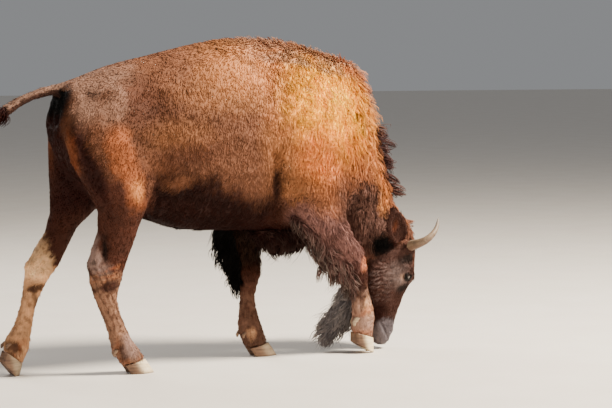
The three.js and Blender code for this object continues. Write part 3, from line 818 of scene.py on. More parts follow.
def paint_belly(paint):
    x, _, z = paint.points.T
    trunk = paint.on(*TRUNK, "tail")
    # The belly's own dark coat, deepened as painted shade under the body.
    waterline = 1.00 - 0.13 * smooth_step(x, -0.10, 0.20)
    fold = smooth_step(waterline + 0.04 * paint.ragged - z, 0.0, 0.17)
    paint.lay("belly", trunk * fold * smooth_step(0.36 - x, 0, 0.12))
    paint.patches(
        1.0,
        ("barrel_top", (-0.205, 0.885), (0.075, 0.035), 14, 0.85, 0.6, 0.3),
        ("barrel", (-0.03, 0.96), (0.14, 0.05), 8, 0.4, 0.7, 0.3),
        ("dark_patch", (-0.14, 1.01), (0.12, 0.045), 8, 0.55, 0.7, 0.3),
        # Painted shade in the fold behind the elbow and under the elbow.
        ("black", (0.277, 0.850), (0.020, 0.085), 6, 0.8, 0.5, 0.3),
        ("dark", (0.285, 0.86), (0.040, 0.12), 0, 0.5, 0.7, 0.3),
        ("dark", (0.315, 0.715), (0.075, 0.06), -20, 0.7, 0.6, 0.3),
        ("tan", (0.39, 0.85), (0.06, 0.055), 10, 0.6, 0.7, 0.3),
    )
    # Painted shade under the chest.
    paint.lay("dark", trunk * smooth_step(0.72 - z, 0, 0.08) * smooth_step(x, 0.15, 0.28) * (x < 0.60))


def paint_neck(paint):
    x, y, z = paint.points.T
    front = paint.on("neck", "forequarters")
    head_and_neck = paint.on("neck", "head")
    paint.patch("collar", (0.68, 0.78), (0.11, 0.11), 40, 0.75, 0.6, only=front)
    paint.patch("neck", (0.76, 0.86), (0.10, 0.13), 15, 0.8, 0.5, only=front)
    paint.patch("collar", (0.78, 0.68), (0.18, 0.17), 30, 0.95, 0.4, only=front + paint.on("head"))
    paint.patch("collar", (0.86, 0.58), (0.17, 0.14), 0, 0.95, 0.4, only=head_and_neck)
    paint.patches(
        front,
        ("hump", (0.835, 0.95), (0.035, 0.12), 14, 0.6, 0.6),
        ("amber", (0.905, 0.810), (0.032, 0.065), 14, 0.7, 0.6, 0.5),
    )
    paint.patch("mane", (0.915, 0.955), (0.040, 0.13), 12, 0.85, 0.5, 0.4, only=front * (np.abs(y) < 0.10))
    paint.patch("hump", (0.895, 0.745), (0.036, 0.060), 10, 0.7, 0.6, 0.5, only=head_and_neck)
    # Painted shadows between the locks.
    for place, radii, tilt in NECK_SHADOWS:
        paint.patch("black", place, radii, tilt, 0.7, 0.5, 0.1, only=front)
    slant = smooth_step(0.86 - 0.32 * (x - 0.26) + 0.03 * paint.ragged - z, 0.0, 0.12)
    near_arm = slant * smooth_step(x, 0.31, 0.41) * (x < 0.72) * smooth_step(np.abs(y), 0.10, 0.16)
    # Painted sheen on the near arm's dark hair.
    paint.lay("forearm_sheen", paint.on("forequarters") * near_arm)


def paint_tail(paint):
    x, y, z = paint.points.T
    tail, trunk = paint.on("tail"), paint.on(*TRUNK)
    paint.lay("tail", tail)
    # Painted shade: the tail darker except where it faces up.
    paint.lay("dark", tail * smooth_step(0.35 - paint.normals[:, 2], 0.0, 0.5) * 0.85)
    # Painted shadow in the recess under the tail and between the thighs, black in its upper part.
    shaded_recess = smooth_step(-x - 0.655, 0.0, 0.035) * smooth_step(0.15 - np.abs(y), 0.0, 0.07) * (z < 1.31)
    paint.lay("dark", trunk * shaded_recess * 0.95)
    paint.lay("black", trunk * shaded_recess * smooth_step(z, 1.14, 1.22))


def paint_thighs(paint):
    x, y, z = paint.points.T
    ragged = paint.ragged
    hind = paint.on("hindquarters", "hindleg_right_upper", "hindleg_left_upper")
    upper = paint.on("hindleg_right_upper", "hindleg_left_upper")
    paint.lay("leg", hind * smooth_step(0.98 - 0.4 * (x + 0.45) + 0.03 * ragged - z, 0.0, 0.16))
    outer = smooth_step(np.abs(y), 0.10, 0.17)
    # The thigh's orange patches are partly its coat and partly painted light on the swell of its muscle.
    paint.patches(
        hind * outer,
        ("thigh", (-0.490, 1.03), (0.062, 0.110), 8, 0.85, 0.5, 0.2),
        ("thigh", (-0.425, 0.88), (0.045, 0.120), 8, 0.60, 0.6, 0.3),
        ("hump", (-0.412, 0.855), (0.030, 0.045), 10, 0.7, 0.6, 0.2),
    )
    # Dark behind the thigh: dark hair, and painted shade in the fold there.
    paint.patch("dark", (-0.622, 0.95), (0.034, 0.20), 22, 0.95, 0.5, 0.2, only=hind)
    paint.patch("rust", (-0.690, 0.99), (0.014, 0.15), 8, 0.35, 0.7, 0.3, only=hind * outer)
    # Painted shade on the inner sides of the hind legs, between them.
    paint.lay("dark", hind * smooth_step(0.14 - np.abs(y), 0.0, 0.06) * (z < 1.1))
    # Painted shade on the lower part of the far thigh.
    paint.lay("dark", paint.on("hindleg_left_upper") * smooth_step(0.95 - z, 0, 0.2) * 0.7)
    paint.lay("leg", upper * smooth_step(0.79 - z, 0.0, 0.12))


def paint_near_hind_leg(paint):
    x, _, z = paint.points.T
    ragged = paint.ragged
    near = paint.on("hindleg_right_upper", "hindleg_right_lower")
    paint.lay("cannon", paint.on("hindleg_right_lower"))
    paint.lay("leg", near * smooth_step(z + 0.02 * ragged, 0.415, 0.50) * (1 - smooth_step(z, 0.62, 0.76)))
    shin = near * smooth_step(x + 0.50 * (z - 0.5), -0.44, -0.37) * smooth_step(z, 0.45, 0.55)
    paint.lay("leg", shin * (1 - smooth_step(z, 0.66, 0.78)) * 0.7)
    paint.patches(
        near,
        ("skin", (-0.600, 0.555), (0.032, 0.075), 5, 0.85, 0.4, 0.5),
        ("skin", (-0.560, 0.500), (0.030, 0.035), 30, 0.5, 0.5, 0.5),
        ("black", (-0.552, 0.590), (0.012, 0.055), 0, 0.8, 0.5, 0.4),
        ("black", (-0.600, 0.525), (0.014, 0.012), 30, 0.6, 0.5, 0.4),
    )
    bands = smooth_step(ripple(paint.points * [0.5, 1, 1.8], 0.032, 51), -0.3, 0.5)
    paint.patch("rust", (-0.530, 0.465), (0.065, 0.042), 18, 0.45, 0.7, 0.8, only=near * bands)
    ridges = np.sin((z - 0.25 * x) * 2 * np.pi / 0.017 + 2.0 * ragged)
    combed = near * bands * smooth_step(ridges, 0.0, 0.6)
    paint.patch("pale", (-0.545, 0.470), (0.060, 0.040), 18, 0.35, 0.7, 0.6, only=combed)
    paint.patch("dark", (-0.530, 0.408), (0.070, 0.030), 12, 0.9, 0.5, 0.5, only=near)
    strands = smooth_step(np.sin((x + 0.42 * z) * 2 * np.pi / 0.026 + 1.5 * ragged), 0.2, 0.9)
    paint.lay("dark", paint.on("hindleg_right_lower") * strands * smooth_step(z, 0.16, 0.24) * 0.5)


def paint_far_hind_leg(paint):
    paint.lay("pale", paint.on("hindleg_left_lower") * 0.9)
    paint.patches(
        paint.on("hindleg_left_upper", "hindleg_left_lower"),
        ("leg", (-0.690, 0.58), (0.070, 0.09), -30, 0.95, 0.6, 0.3),
        ("cream", (-0.772, 0.575), (0.030, 0.055), 0, 0.75, 0.8, 0.5),
        ("cream", (-0.815, 0.515), (0.040, 0.060), -25, 0.9, 0.4, 0.3),
        ("cream", (-0.772, 0.490), (0.045, 0.065), -20, 0.8, 0.4, 0.3),
        ("dark", (-0.800, 0.402), (0.055, 0.018), 8, 0.85, 0.4, 0.3),
        ("dark", (-0.790, 0.290), (0.012, 0.10), 16, 0.6, 0.6, 0.3),
        ("dark", (-0.915, 0.130), (0.050, 0.030), -25, 0.9, 0.5, 0.4),
    )


def paint_hind_shanks(paint):
    z = paint.points[:, 2]
    lower = paint.on("hindleg_right_lower", "hindleg_left_lower")
    mottle = smooth_step(ripple(paint.points * [1, 1, 0.4], 0.022, 9), 0.0, 0.9)
    paint.lay("leg", lower * mottle * smooth_step(0.40 - z, 0.0, 0.04) * smooth_step(z, 0.15, 0.22) * 0.45)
    clouds = smooth_step(ripple(paint.points, 0.05, 10), -0.2, 0.6)
    paint.lay("rust", lower * smooth_step(0.20 - z, 0, 0.04) * clouds * 0.3)
    paint.patches(
        paint.on("hindleg_right_upper", "hindleg_right_lower"),
        ("dark", (-0.470, 0.125), (0.026, 0.050), 25, 0.8, 0.5, 0.4),
        ("skin", (-0.430, 0.130), (0.035, 0.060), 30, 0.7, 0.5, 0.3),
    )


def paint_fore_legs(paint):
    x, _, z = paint.points.T
    near_upper, near_lower = paint.on("foreleg_right_upper"), paint.on("foreleg_right_lower")
    far_upper, far_lower = paint.on("foreleg_left_upper"), paint.on("foreleg_left_lower")
    near, far = near_upper + near_lower, far_upper + far_lower
    # Painted sheen: the near forearm laid pinkish grey, as its dark hair looks in the light, then broken by
    # dark locks.
    paint.lay("forearm_sheen", near_upper)
    locks = smooth_step(ripple(paint.points * [1, 1, 0.6], 0.035, 35), 0.0, 0.9)
    paint.lay("dark", near_upper * locks * 0.55)
    paint.lay("dark", near_upper * smooth_step(0.50 - z, 0, 0.08) * smooth_step(0.74 - x, 0, 0.04))
    # Painted shade: the far upper foreleg black.
    paint.lay("black", far_upper * 0.9)
    paint.lay("cannon_dark", far_lower)
    paint.lay("leg", far * smooth_step(z, 0.27, 0.38) * (1 - smooth_step(z, 0.42, 0.50)) * 0.85)
    shank = near_lower * smooth_step(0.36 - z, 0, 0.06)
    paint.lay("cannon", shank)
    paint.lay("skin", shank * 0.35)
    paint.lay("dark", near_lower * smooth_step(z, 0.30, 0.36) * 0.8)
    paint.patches(
        near,
        ("knee", (0.762, 0.460), (0.024, 0.055), -12, 0.95, 0.3, 0.2),
        ("dark", (0.715, 0.375), (0.075, 0.050), -20, 0.85, 0.5, 0.4),
    )
    mottle = smooth_step(ripple(paint.points * [1, 1, 0.5], 0.026, 12), 0.0, 0.9)
    lower = near_lower + far_lower
    paint.lay("leg", lower * mottle * smooth_step(z, 0.13, 0.2) * 0.5)
    paint.patches(
        near,
        ("pale", (0.795, 0.225), (0.022, 0.060), 0, 0.5, 0.6, 0.4),
        ("skin", (0.790, 0.160), (0.050, 0.035), 0, 0.45, 0.5, 0.3),
        ("dark", (0.755, 0.340), (0.050, 0.060), -10, 0.85, 0.5, 0.5),
        ("dark", (0.735, 0.290), (0.014, 0.060), 0, 0.55, 0.5, 0.5),
        ("rust", (0.780, 0.205), (0.035, 0.018), 30, 0.45, 0.6, 0.5),
    )
    paint.patch("pale", (0.262, 0.118), (0.022, 0.026), 0, 0.5, 0.6, 0.4, only=far)
    paint.lay("rust", near_lower * np.exp(-(((z - 0.105) / 0.012) ** 2)) * 0.4)


def paint_head(paint):
    head = paint.on("head")
    both = paint.on("head", "neck")
    paint.lay("head", head)
    paint.patch("poll", (1.04, 0.63), (0.12, 0.09), 0, 0.9, 0.4, 0.2, only=head)
    # Black behind the jaw and under the ear: dark hair, deepened as painted shade in the hollow there.
    paint.patch("black", (0.888, 0.538), (0.072, 0.050), -8, 1.0, 0.3, 0.2, only=both)
    paint.patches(
        head,
        ("black", (1.035, 0.450), (0.040, 0.022), 0, 0.8, 0.5, 0.2),
        ("face_grey", (0.975, 0.375), (0.050, 0.060), 20, 0.55, 0.6, 0.3),
        ("rust", (1.085, 0.430), (0.018, 0.050), 0, 0.20, 0.6, 0.2),
        ("dark", (0.885, 0.195), (0.050, 0.050), 0, 0.85, 0.5, 0.25),
        ("muzzle", (0.940, 0.080), (0.080, 0.075), 0, 0.95, 0.12, 0.15),
        ("black", (1.012, 0.308), (0.034, 0.017), 15, 0.85, 0.5, 0.2),
        ("pale", (0.998, 0.368), (0.012, 0.018), 0, 0.32, 0.6, 0.2),
    )
    # Painted light and shade on the cheek's waves: grey highlights on the crests, darker troughs.
    wave_light_and_shade = cheek_waves(paint.points) * head * smooth_step(ripple(paint.points, 0.05, 43), -0.8, 0.6)
    paint.lay("face_grey", wave_light_and_shade.clip(0, 1) * 0.34)
    paint.lay("dark", (-wave_light_and_shade).clip(0, 1) * 0.45)
    eye = np.linalg.norm(np.abs(paint.points) - EYE, axis=1)
    paint.lay("black", head * (1 - smooth_step(eye, 0.023, 0.032)))


def ear_opening(name):
    return unit(np.array([0.25, SIDES[name.split("_")[1]], 0.05]))


def paint_masses(paint):
    x, _, z = paint.points.T
    chaps = paint.on("chaps_right")
    paint.lay("dark", chaps)
    # Painted sheen on the near chaps: pinkish grey where they face the light at the front and top, and in
    # loose patches.
    paint.lay("forearm_sheen", chaps * smooth_step(x + 0.8 * z, 0.92, 1.08) * smooth_step(z, 0.41, 0.52))
    paint.lay("forearm_sheen", chaps * smooth_step(ripple(paint.points, 0.04, 33), 0.1, 0.8) * 0.35)
    # The far chaps black: their dark hair deepened as painted shade. The brisket fringe is black here and
    # eased to dark below.
    paint.lay("black", paint.on("chaps_left", "brisket_fringe"))
    paint.lay("dark", paint.on("brisket_fringe") * 0.7)
    paint.lay("beard", paint.on("beard"))
    paint.lay("black", paint.on("beard") * smooth_step(x - 0.5 * z, 0.62, 0.74) * 0.8)
    paint.lay("dark", paint.on("tail_tuft"))
    for name in EARS:
        ear = paint.on(name)
        inward = smooth_step(paint.normals @ ear_opening(name), 0.35, 0.80)
        paint.lay("dark", ear)
        paint.lay("collar", ear * inward * 0.30)
        paint.patch("rust", (0.938, 0.615), (0.018, 0.030), 0, 0.30, 0.7, 0.3, ear * inward)


# In the order in which they are laid over one another.
PAINTING = (
    paint_barrel,
    paint_cape,
    paint_rump,
    paint_belly,
    paint_neck,
    paint_tail,
    paint_head,
    paint_thighs,
    paint_near_hind_leg,
    paint_far_hind_leg,
    paint_hind_shanks,
    paint_fore_legs,
    paint_masses,
)


def markings(points, part, normals):
    paint = Paint(points, part, normals)
    for lay_on in PAINTING:
        lay_on(paint)
    # Uneven at three sizes, the last of them drawn out along the hair.
    patchy = 1 + 0.12 * ripple(points, 0.16, 21) + 0.08 * ripple(points, 0.045, 22)
    patchy += 0.10 * ripple(points * [1, 1, 0.16], 0.013, 23)
    return (paint.colour * patchy[:, None]).clip(0, 1)


# ---------------------------------------------------------------- tufts
UV_PATCH = 0.0015  # half the size of a tuft's patch on the map
LOCK_SIDES = 3  # of which the second is the under side
UNDER_SIDE = 1
LOCK_FLATNESS = 0.36  # thickness as a share of the width
ROOT_WIDTH = 0.75  # width at the root as a share of the greatest
TAPER = 2.2  # the greater it is, the nearer to its tip a lock starts to narrow


def add_colours(mesh, name, colours):
    layer = mesh.attributes.new(name, "FLOAT_COLOR", "POINT")
    filled = np.ones((len(mesh.vertices), 4), np.float32)
    filled[:, :3] = colours
    layer.data.foreach_set("color", filled.ravel())


def build_locks(name, paths, across, widths, colours, tones, bleach, uvs):
    """One closed, tapered lock along each path. PATHS holds the same number of points for each lock, the
    last of them its tip, and ACROSS the way in which it is wide."""
    count, points = paths.shape[:2]
    rings, sides = points - 1, LOCK_SIDES
    along = np.linspace(0, 1, points)[:-1]
    taper = (ROOT_WIDTH + (1 - ROOT_WIDTH) * np.sin(np.pi * (along * 0.5 + 0.25))) * (1 - along**TAPER)
    way = unit(np.diff(paths, axis=1))
    wide = unit(across[:, None] - way * np.sum(across[:, None] * way, axis=2, keepdims=True))
    thick = np.cross(way, wide) * LOCK_FLATNESS
    angles = 2 * np.pi * np.arange(sides) / sides + np.pi / 2
    cosines, sines = (wave(angles)[None, None, :, None] for wave in (np.cos, np.sin))
    half = widths[:, None, None, None] / 2 * taper[None, :, None, None]
    ring_points = paths[:, :-1, None] + (wide[:, :, None] * cosines + thick[:, :, None] * sines) * half
    corners = np.concatenate([ring_points.reshape(count, -1, 3), paths[:, -1:]], axis=1)
    each = rings * sides + 1
    pattern, rounded = [], []  # the faces of one lock, and which of them are shaded smooth
    for ring in range(rings):
        for side in range(sides):
            first, second = ring * sides + side, ring * sides + (side + 1) % sides
            if ring == rings - 1:
                pattern.append((first, second, each - 1))
                rounded.append(side != UNDER_SIDE)
            else:
                pattern += [(first, second, second + sides), (first, second + sides, first + sides)]
                rounded += [side != UNDER_SIDE] * 2
    pattern += [(0, corner + 1, corner) for corner in range(1, sides - 1)]
    rounded += [False] * (sides - 2)
    faces = (np.array(pattern)[None] + (np.arange(count) * each)[:, None, None]).reshape(-1, 3)
    piece = triangle_mesh(name, corners.reshape(-1, 3), faces)
    mesh = piece.data
    # The under side is flat, so that the shading of the outer sides does not turn away from the light.
    mesh.polygons.foreach_set("use_smooth", np.tile(rounded, count))
    share = np.concatenate([np.repeat(along, sides), [1.0]])
    strand = np.stack(np.broadcast_arrays(share[None], tones[:, None], bleach[:, None]), axis=2)
    add_colours(mesh, "coat", np.repeat(colours, each, axis=0))
    add_colours(mesh, "strand", strand.reshape(-1, 3))
    spin = np.concatenate([np.tile(angles, rings), [0.0]])
    local = np.stack([np.cos(spin) * (1.1 - share), share * 2 - 1], axis=1) * UV_PATCH
    at = (uvs[:, None] + local[None]).reshape(-1, 2)
    layer = mesh.uv_layers.new(name="OFBake")
    layer.uv.foreach_set("vector", at[faces.ravel()].astype(np.float32).ravel())
    return piece


def triangle_mesh(name, corners, faces):
    mesh = bpy.data.meshes.new(name)
    mesh.vertices.add(len(corners))
    mesh.vertices.foreach_set("co", corners.astype(np.float32).ravel())
    mesh.loops.add(faces.size)
    mesh.loops.foreach_set("vertex_index", faces.astype(np.int32).ravel())
    mesh.polygons.add(len(faces))
    mesh.polygons.foreach_set("loop_start", np.arange(0, faces.size, 3, dtype=np.int32))
    mesh.update(calc_edges=True)
    piece = bpy.data.objects.new(name, mesh)
    bpy.context.collection.objects.link(piece)
    return piece


class Roots:
    """Places on the skin where tufts grow, with all that the coat says there."""

    def __init__(self, surface, coat, names, seed, share=1.0, where=None):
        rng = np.random.default_rng(seed)
        mesh = surface.mesh
        mesh.calc_loop_triangles()
        triangles = numbers(mesh.loop_triangles, "vertices", 3, np.int32)
        loops = numbers(mesh.loop_triangles, "loops", 3, np.int32)
        areas = numbers(mesh.loop_triangles, "area", 1)
        grows = coat.on(*names)[triangles].mean(1) > 0.5
        if where is not None:
            grows &= where(surface.points[triangles].mean(1))
        expected = areas * coat.density[triangles].mean(1) * grows * share
        chosen = np.repeat(np.arange(len(areas)), rng.poisson(expected))
        weights = rng.dirichlet((1, 1, 1), len(chosen))
        self.count = len(chosen)
        self.rng = rng
        self.weights = weights
        self.corners = triangles[chosen]
        self.points = self.mixed(surface.points)
        self.normals = unit(self.mixed(surface.normals))
        self.lie = self.mixed(coat.lie)
        self.part = coat.part[self.corners[:, 0]]
        uv = numbers(mesh.uv_layers["OFBake"].uv, "vector", 2)
        self.uvs = (uv[loops[chosen]] * weights[:, :, None]).sum(1)
        for field in ("length", "width", "rise", "wave"):
            setattr(self, field, self.mixed(getattr(coat, field)))

    def mixed(self, values):
        picked = values[self.corners]
        return (picked * (self.weights if values.ndim == 1 else self.weights[:, :, None])).sum(1)


ROOT_SINK = 0.0010  # tufts start this far under the skin
FLOOR_GAP = 0.004  # and none ends nearer to the floor than this
SHORTEST = 0.1  # share of its length that is left at least
# How much tufts of one kind differ, as shares of what the coat says.
LENGTHS = (0.65, 1.25)
RISES = (0.55, 1.35)
WIDTHS = (0.7, 1.3)


def gathered(paths, size, pull, rng):
    """Draws the tips of neighbours together into locks of about SIZE tufts, and says which one leads each."""
    count = len(paths)
    middles = rng.choice(count, max(count // size, 1), replace=False)
    tree = KDTree(len(middles))
    for number, middle in enumerate(middles):
        tree.insert(paths[middle, 0], number)
    tree.balance()
    leader = middles[[tree.find(root)[1] for root in paths[:, 0]]]
    share = (np.linspace(0, 1, paths.shape[1]) ** 1.3 * pull)[None, :, None]
    return paths + (paths[leader] - paths) * share, leader


def above_the_floor(paths):
    """Shortens the tufts that would reach through the floor, to end just above it."""
    start = paths[:, :1]
    drop = np.maximum((start - paths)[:, :, 2].max(axis=1), FLOOR_GAP)
    fit = np.clip((start[:, 0, 2] - FLOOR_GAP) / drop, SHORTEST, 1.0)
    return start + (paths - start) * fit[:, None, None]


def tufts(name, roots, seed, points=3, swirl=0.22, lock=None, tint=None, bleached=0.0, **times):
    """Tufts that leave the skin, bend over and lie along it, each with so many POINTS on its path and turned
    aside by about SWIRL radians. LOCK, as (size, pull), gathers them into locks, TINT, as (tone, share),
    takes them all towards one tone, and BLEACHED is how pale their tips are. TIMES says, for length, rise
    and width, how many times what the coat says they are."""
    rng = roots.rng
    count = roots.count
    flow = unit(roots.lie - roots.normals * np.sum(roots.lie * roots.normals, axis=1, keepdims=True))
    side = np.cross(roots.normals, flow)
    turn = swirl * (1.2 * ripple(roots.points, 0.12, seed + 50) + 0.8 * rng.normal(size=count))
    way = flow * np.cos(turn)[:, None] + side * np.sin(turn)[:, None]
    side = np.cross(roots.normals, way)
    length = roots.length * times.get("length", 1.0) * rng.uniform(*LENGTHS, count)
    length *= 1 + 0.25 * ripple(roots.points, 0.05, seed + 60)
    rise = roots.rise * times.get("rise", 1.0) * rng.uniform(*RISES, count)
    phase = rng.uniform(0, 2 * np.pi, count)
    share = np.linspace(0, 1, points)[None]
    # Each path leaves the skin steeply, bends over to lie along it, and swings a little from side to side.
    forward = length[:, None] * (share - 0.10 * share**2)
    up = (length * rise)[:, None] * (1.7 * share - 0.95 * share**2) - ROOT_SINK * (1 - share) ** 2
    swing = roots.wave[:, None] * (np.sin(phase[:, None] + 5.5 * share) - np.sin(phase)[:, None])
    paths = (
        roots.points[:, None]
        + way[:, None] * forward[:, :, None]
        + roots.normals[:, None] * up[:, :, None]
        + side[:, None] * swing[:, :, None]
    )
    tones = rng.random(count)
    paths = above_the_floor(paths)
    if lock:
        paths, leader = gathered(paths, *lock, rng)
        tones = 0.4 * tones + 0.6 * tones[leader]
    colours = markings(roots.points, roots.part, roots.normals)
    if tint:
        tone, mixed = tint
        colours = colours * (1 - mixed) + np.array(TONES[tone]) * mixed
    widths = roots.width * times.get("width", 1.0) * rng.uniform(*WIDTHS, count)
    bleach = bleached * rng.random(count) ** 0.7
    return build_locks(name, paths, side, widths, colours, tones, bleach, roots.uvs)


# ---------------------------------------------------------------- finishes
def coat_finish():
    """Hair: darker at the root, lighter at the tip, each tuft with a tone of its own."""
    finish = Finish("coat_hair")
    along, tone, bleach = finish.split(finish.attribute("strand"))
    place = finish.place()
    fine = finish.noise(place, 420.0, 2.0, stretch=(1, 1, 0.35))
    light = (0.95 + along * 0.18) * (0.88 + tone * 0.24) * (0.88 + fine * 0.24)
    bleached = finish.blend(bleach * along, finish.attribute("coat"), linear(178, 164, 154))
    colour = finish.brighten(bleached, light)
    finish.set(base_color=colour, roughness=0.62, specular_ior_level=0.08)
    finish.set(normal=finish.bump(fine, 0.35, 0.002))
    return finish.material


def hide_finish():
    """Skin with the shortest hair as fine streaks, the same markings as the coat, and a damp muzzle."""
    finish = Finish("hide")
    place = finish.place()
    streaks = finish.noise(place, 300.0, 4.0, 0.6, stretch=(1.0, 1.0, 0.28))
    grain = finish.noise(place, 90.0, 3.0)
    light = 0.72 + streaks * 0.36 + grain * 0.22
    colour = finish.brighten(finish.attribute("coat"), light)
    _, _, height = finish.split(place)
    damp = 1 - finish.ramp(height, 0.075, 0.13)
    finish.set(base_color=colour, roughness=0.72 - damp * 0.34, specular_ior_level=0.15)
    finish.set(normal=finish.bump(streaks + grain * 0.5, 0.55, 0.003))
    return finish.material


def horn_finish():
    finish = Finish("horn")
    place = finish.place()
    along, underside_shade, _ = finish.split(finish.attribute("length_share"))
    cloud = finish.noise(place, 45.0, 4.0)
    streak = finish.noise(place, 160.0, 3.0, stretch=(0.3, 1.0, 1.0))
    colour = finish.blend(finish.ramp(cloud, 0.35, 0.7), linear(116, 96, 78), linear(146, 124, 100))
    # Painted shade: darker where the horn faces down.
    colour = finish.blend(underside_shade * 0.75, colour, linear(82, 50, 30))
    colour = finish.blend(finish.ramp(along, 0.60, 0.98), colour, linear(120, 108, 98))
    colour = finish.brighten(colour, 0.8 + streak * 0.4)
    finish.set(base_color=colour, roughness=0.40 + streak * 0.25)
    finish.set(normal=finish.bump(streak + cloud, 0.3, 0.002))
    return finish.material


def hoof_finish():
    finish = Finish("hoof_horn")
    place = finish.place()
    _, _, height = finish.split(place)
    bands = finish.noise(place, 50.0, 3.0, stretch=(0.25, 0.25, 2.4))
    dust = finish.noise(place, 38.0, 4.0)
    toe, _, _ = finish.split(finish.attribute("toe"))
    worn = finish.blend(finish.ramp(bands, 0.3, 0.7), linear(224, 200, 158), linear(244, 226, 190))
    dull = finish.blend(finish.ramp(bands, 0.3, 0.7), linear(84, 60, 46), linear(126, 94, 70))
    colour = finish.blend(toe, dull, worn)
    colour = finish.blend(finish.ramp(dust, 0.55, 0.75) * 0.6, colour, linear(120, 90, 66))
    colour = finish.blend((1 - finish.ramp(height, 0.0, 0.014)) * 0.7, colour, linear(104, 80, 60))
    finish.set(base_color=colour, roughness=0.50 + dust * 0.3)
    finish.set(normal=finish.bump(bands * 0.8 + dust * 0.3, 0.4, 0.003))
    return finish.material


def eye_finish():
    finish = Finish("wet_eye")
    place = finish.place()
    spots = finish.noise(place, 240.0, 3.0)
    colour = finish.blend(finish.ramp(spots, 0.4, 0.7), linear(26, 15, 11), linear(58, 34, 22))
    finish.set(base_color=colour, roughness=0.06, coat_weight=1.0, coat_roughness=0.03)
    return finish.material


def floor_finish():
    finish = Finish("pale_floor")
    grain = finish.noise(finish.place(), 3.0, 5.0)
    colour = finish.blend(grain, linear(222, 214, 204), linear(234, 228, 220))
    finish.set(base_color=colour, roughness=0.85)
    return finish.material


FINISHES = {
    "hair": coat_finish(),
    "hide": hide_finish(),
    "horn": horn_finish(),
    "hoof": hoof_finish(),
    "eye": eye_finish(),
}


def settle(piece, finish, slot, *replaced):
    """Gives a finished piece its material, its place in the frame and the nodes it stands for."""
    piece.data.materials.clear()
    piece.data.materials.append(FINISHES[finish])
    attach(piece, "root")
    if replaced:
        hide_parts(*replaced)


# ---------------------------------------------------------------- making it
def lay_floor():
    bpy.ops.object.select_all(action="DESELECT")
    bpy.ops.mesh.primitive_circle_add(vertices=96, radius=60.0, fill_type="NGON")
    floor = bpy.context.view_layer.objects.active
    floor.name = "floor"
    floor.data.materials.append(floor_finish())


def unwrap(surface):
    piece = surface.piece
    select_only(piece)
    layer = surface.mesh.uv_layers.new(name="OFBake")
    surface.mesh.uv_layers.active = layer
    bpy.ops.object.mode_set(mode="EDIT")
    bpy.ops.mesh.select_all(action="SELECT")
    bpy.ops.uv.smart_project(angle_limit=math.radians(75), island_margin=0.002)
    bpy.ops.object.mode_set(mode="OBJECT")


HORN_SPINE = np.array(
    [
        (1.030, 0.108, 0.510),
        (1.040, 0.150, 0.520),
        (1.050, 0.192, 0.532),
        (1.072, 0.220, 0.548),
        (1.104, 0.226, 0.574),
        (1.136, 0.212, 0.608),
        (1.158, 0.190, 0.654),
    ]
)
HORN_VOXEL = 0.0032
HORN_RINGS = 34  # growth rings from root to tip
RING_HEIGHT = 0.0008
HORN_THINNER = 0.0006  # than its node, so that the rings stay inside its outline


def make_horn(side):
    name = f"horn_{side}"
    piece = node_copy(name)
    modified(piece, "REMESH", mode="VOXEL", voxel_size=HORN_VOXEL)
    piece.name = piece.data.name = f"horn_sheath_{side}"
    surface = Surface(piece)
    surface.relax(14)
    share, _ = along_line(surface.points, on_side(HORN_SPINE, SIDES[side]))
    rings = np.sin(share * 2 * np.pi * HORN_RINGS + 0.8 * ripple(surface.points, 0.03, 71))
    strength = (1 - smooth_step(share, 0.30, 0.65)) * RING_HEIGHT
    surface.points += surface.normals * (rings * strength - HORN_THINNER)[:, None]
    surface.write()
    # How far each point faces down, for the painted shade on the horn's underside.
    underside_shade = smooth_step(-surface.normals[:, 2], -0.2, 0.7)
    add_colours(surface.mesh, "length_share", np.stack([share, underside_shade, share], 1))
    smooth_shaded(piece)
    settle(piece, "horn", "horn", name)


# How much of each foot's horn is worn to a pale cream.
PALE_HORN = {"foreleg_right": 1.0, "foreleg_left": 0.30, "hindleg_right": 0.95, "hindleg_left": 0.30}
# Each dewclaw's size as a share of its node's, how much of it is pale, and how far it is set into the leg.
DEWCLAW_SIZE = {"foreleg_right": 0.95, "foreleg_left": 0.74, "hindleg_right": 0.74, "hindleg_left": 0.74}
DEWCLAW_PALE = {"foreleg_right": 0.30, "foreleg_left": 0.05, "hindleg_right": 0.05, "hindleg_left": 0.05}
DEWCLAW_SINK = {"inner": 0.018, "outer": 0.006}
CLAW_VOXEL = 0.0034
CLAW_WAVE_LENGTH = 0.0065  # of the growth rings round each claw
CLAW_WAVE_HEIGHT = 0.0003


def make_foot(leg):
    claws = [f"{leg}_{kind}_{way}" for kind in ("claw", "dewclaw") for way in ("inner", "outer")]
    pieces = [node_copy(name) for name in claws]
    for name, piece in zip(claws, pieces):
        modified(piece, "REMESH", mode="VOXEL", voxel_size=CLAW_VOXEL)
        surface = Surface(piece)
        surface.relax(4)
        x, _, z = surface.points.T
        if "dewclaw" in name:
            middle = surface.points.mean(0)
            sink = [DEWCLAW_SINK[name.split("_")[-1]], 0, 0]
            surface.points = middle + (surface.points - middle) * DEWCLAW_SIZE[leg] + sink
            pale = np.full(len(x), DEWCLAW_PALE[leg])
        else:
            pale = smooth_step((x - x.min()) / np.ptp(x) + 0.25 * z / z.max(), 0.42, 0.78)  # towards the toe
            waves = np.sin(z * 2 * np.pi / CLAW_WAVE_LENGTH + 0.6 * ripple(surface.points, 0.05, 73))
            surface.points += surface.normals * (waves * CLAW_WAVE_HEIGHT)[:, None]
        surface.write()
        add_colours(surface.mesh, "toe", np.repeat(pale[:, None] * PALE_HORN[leg], 3, axis=1))
    hoof = joined(pieces, f"{leg}_hoof")
    smooth_shaded(hoof)
    settle(hoof, "hoof", "hoof", *claws)


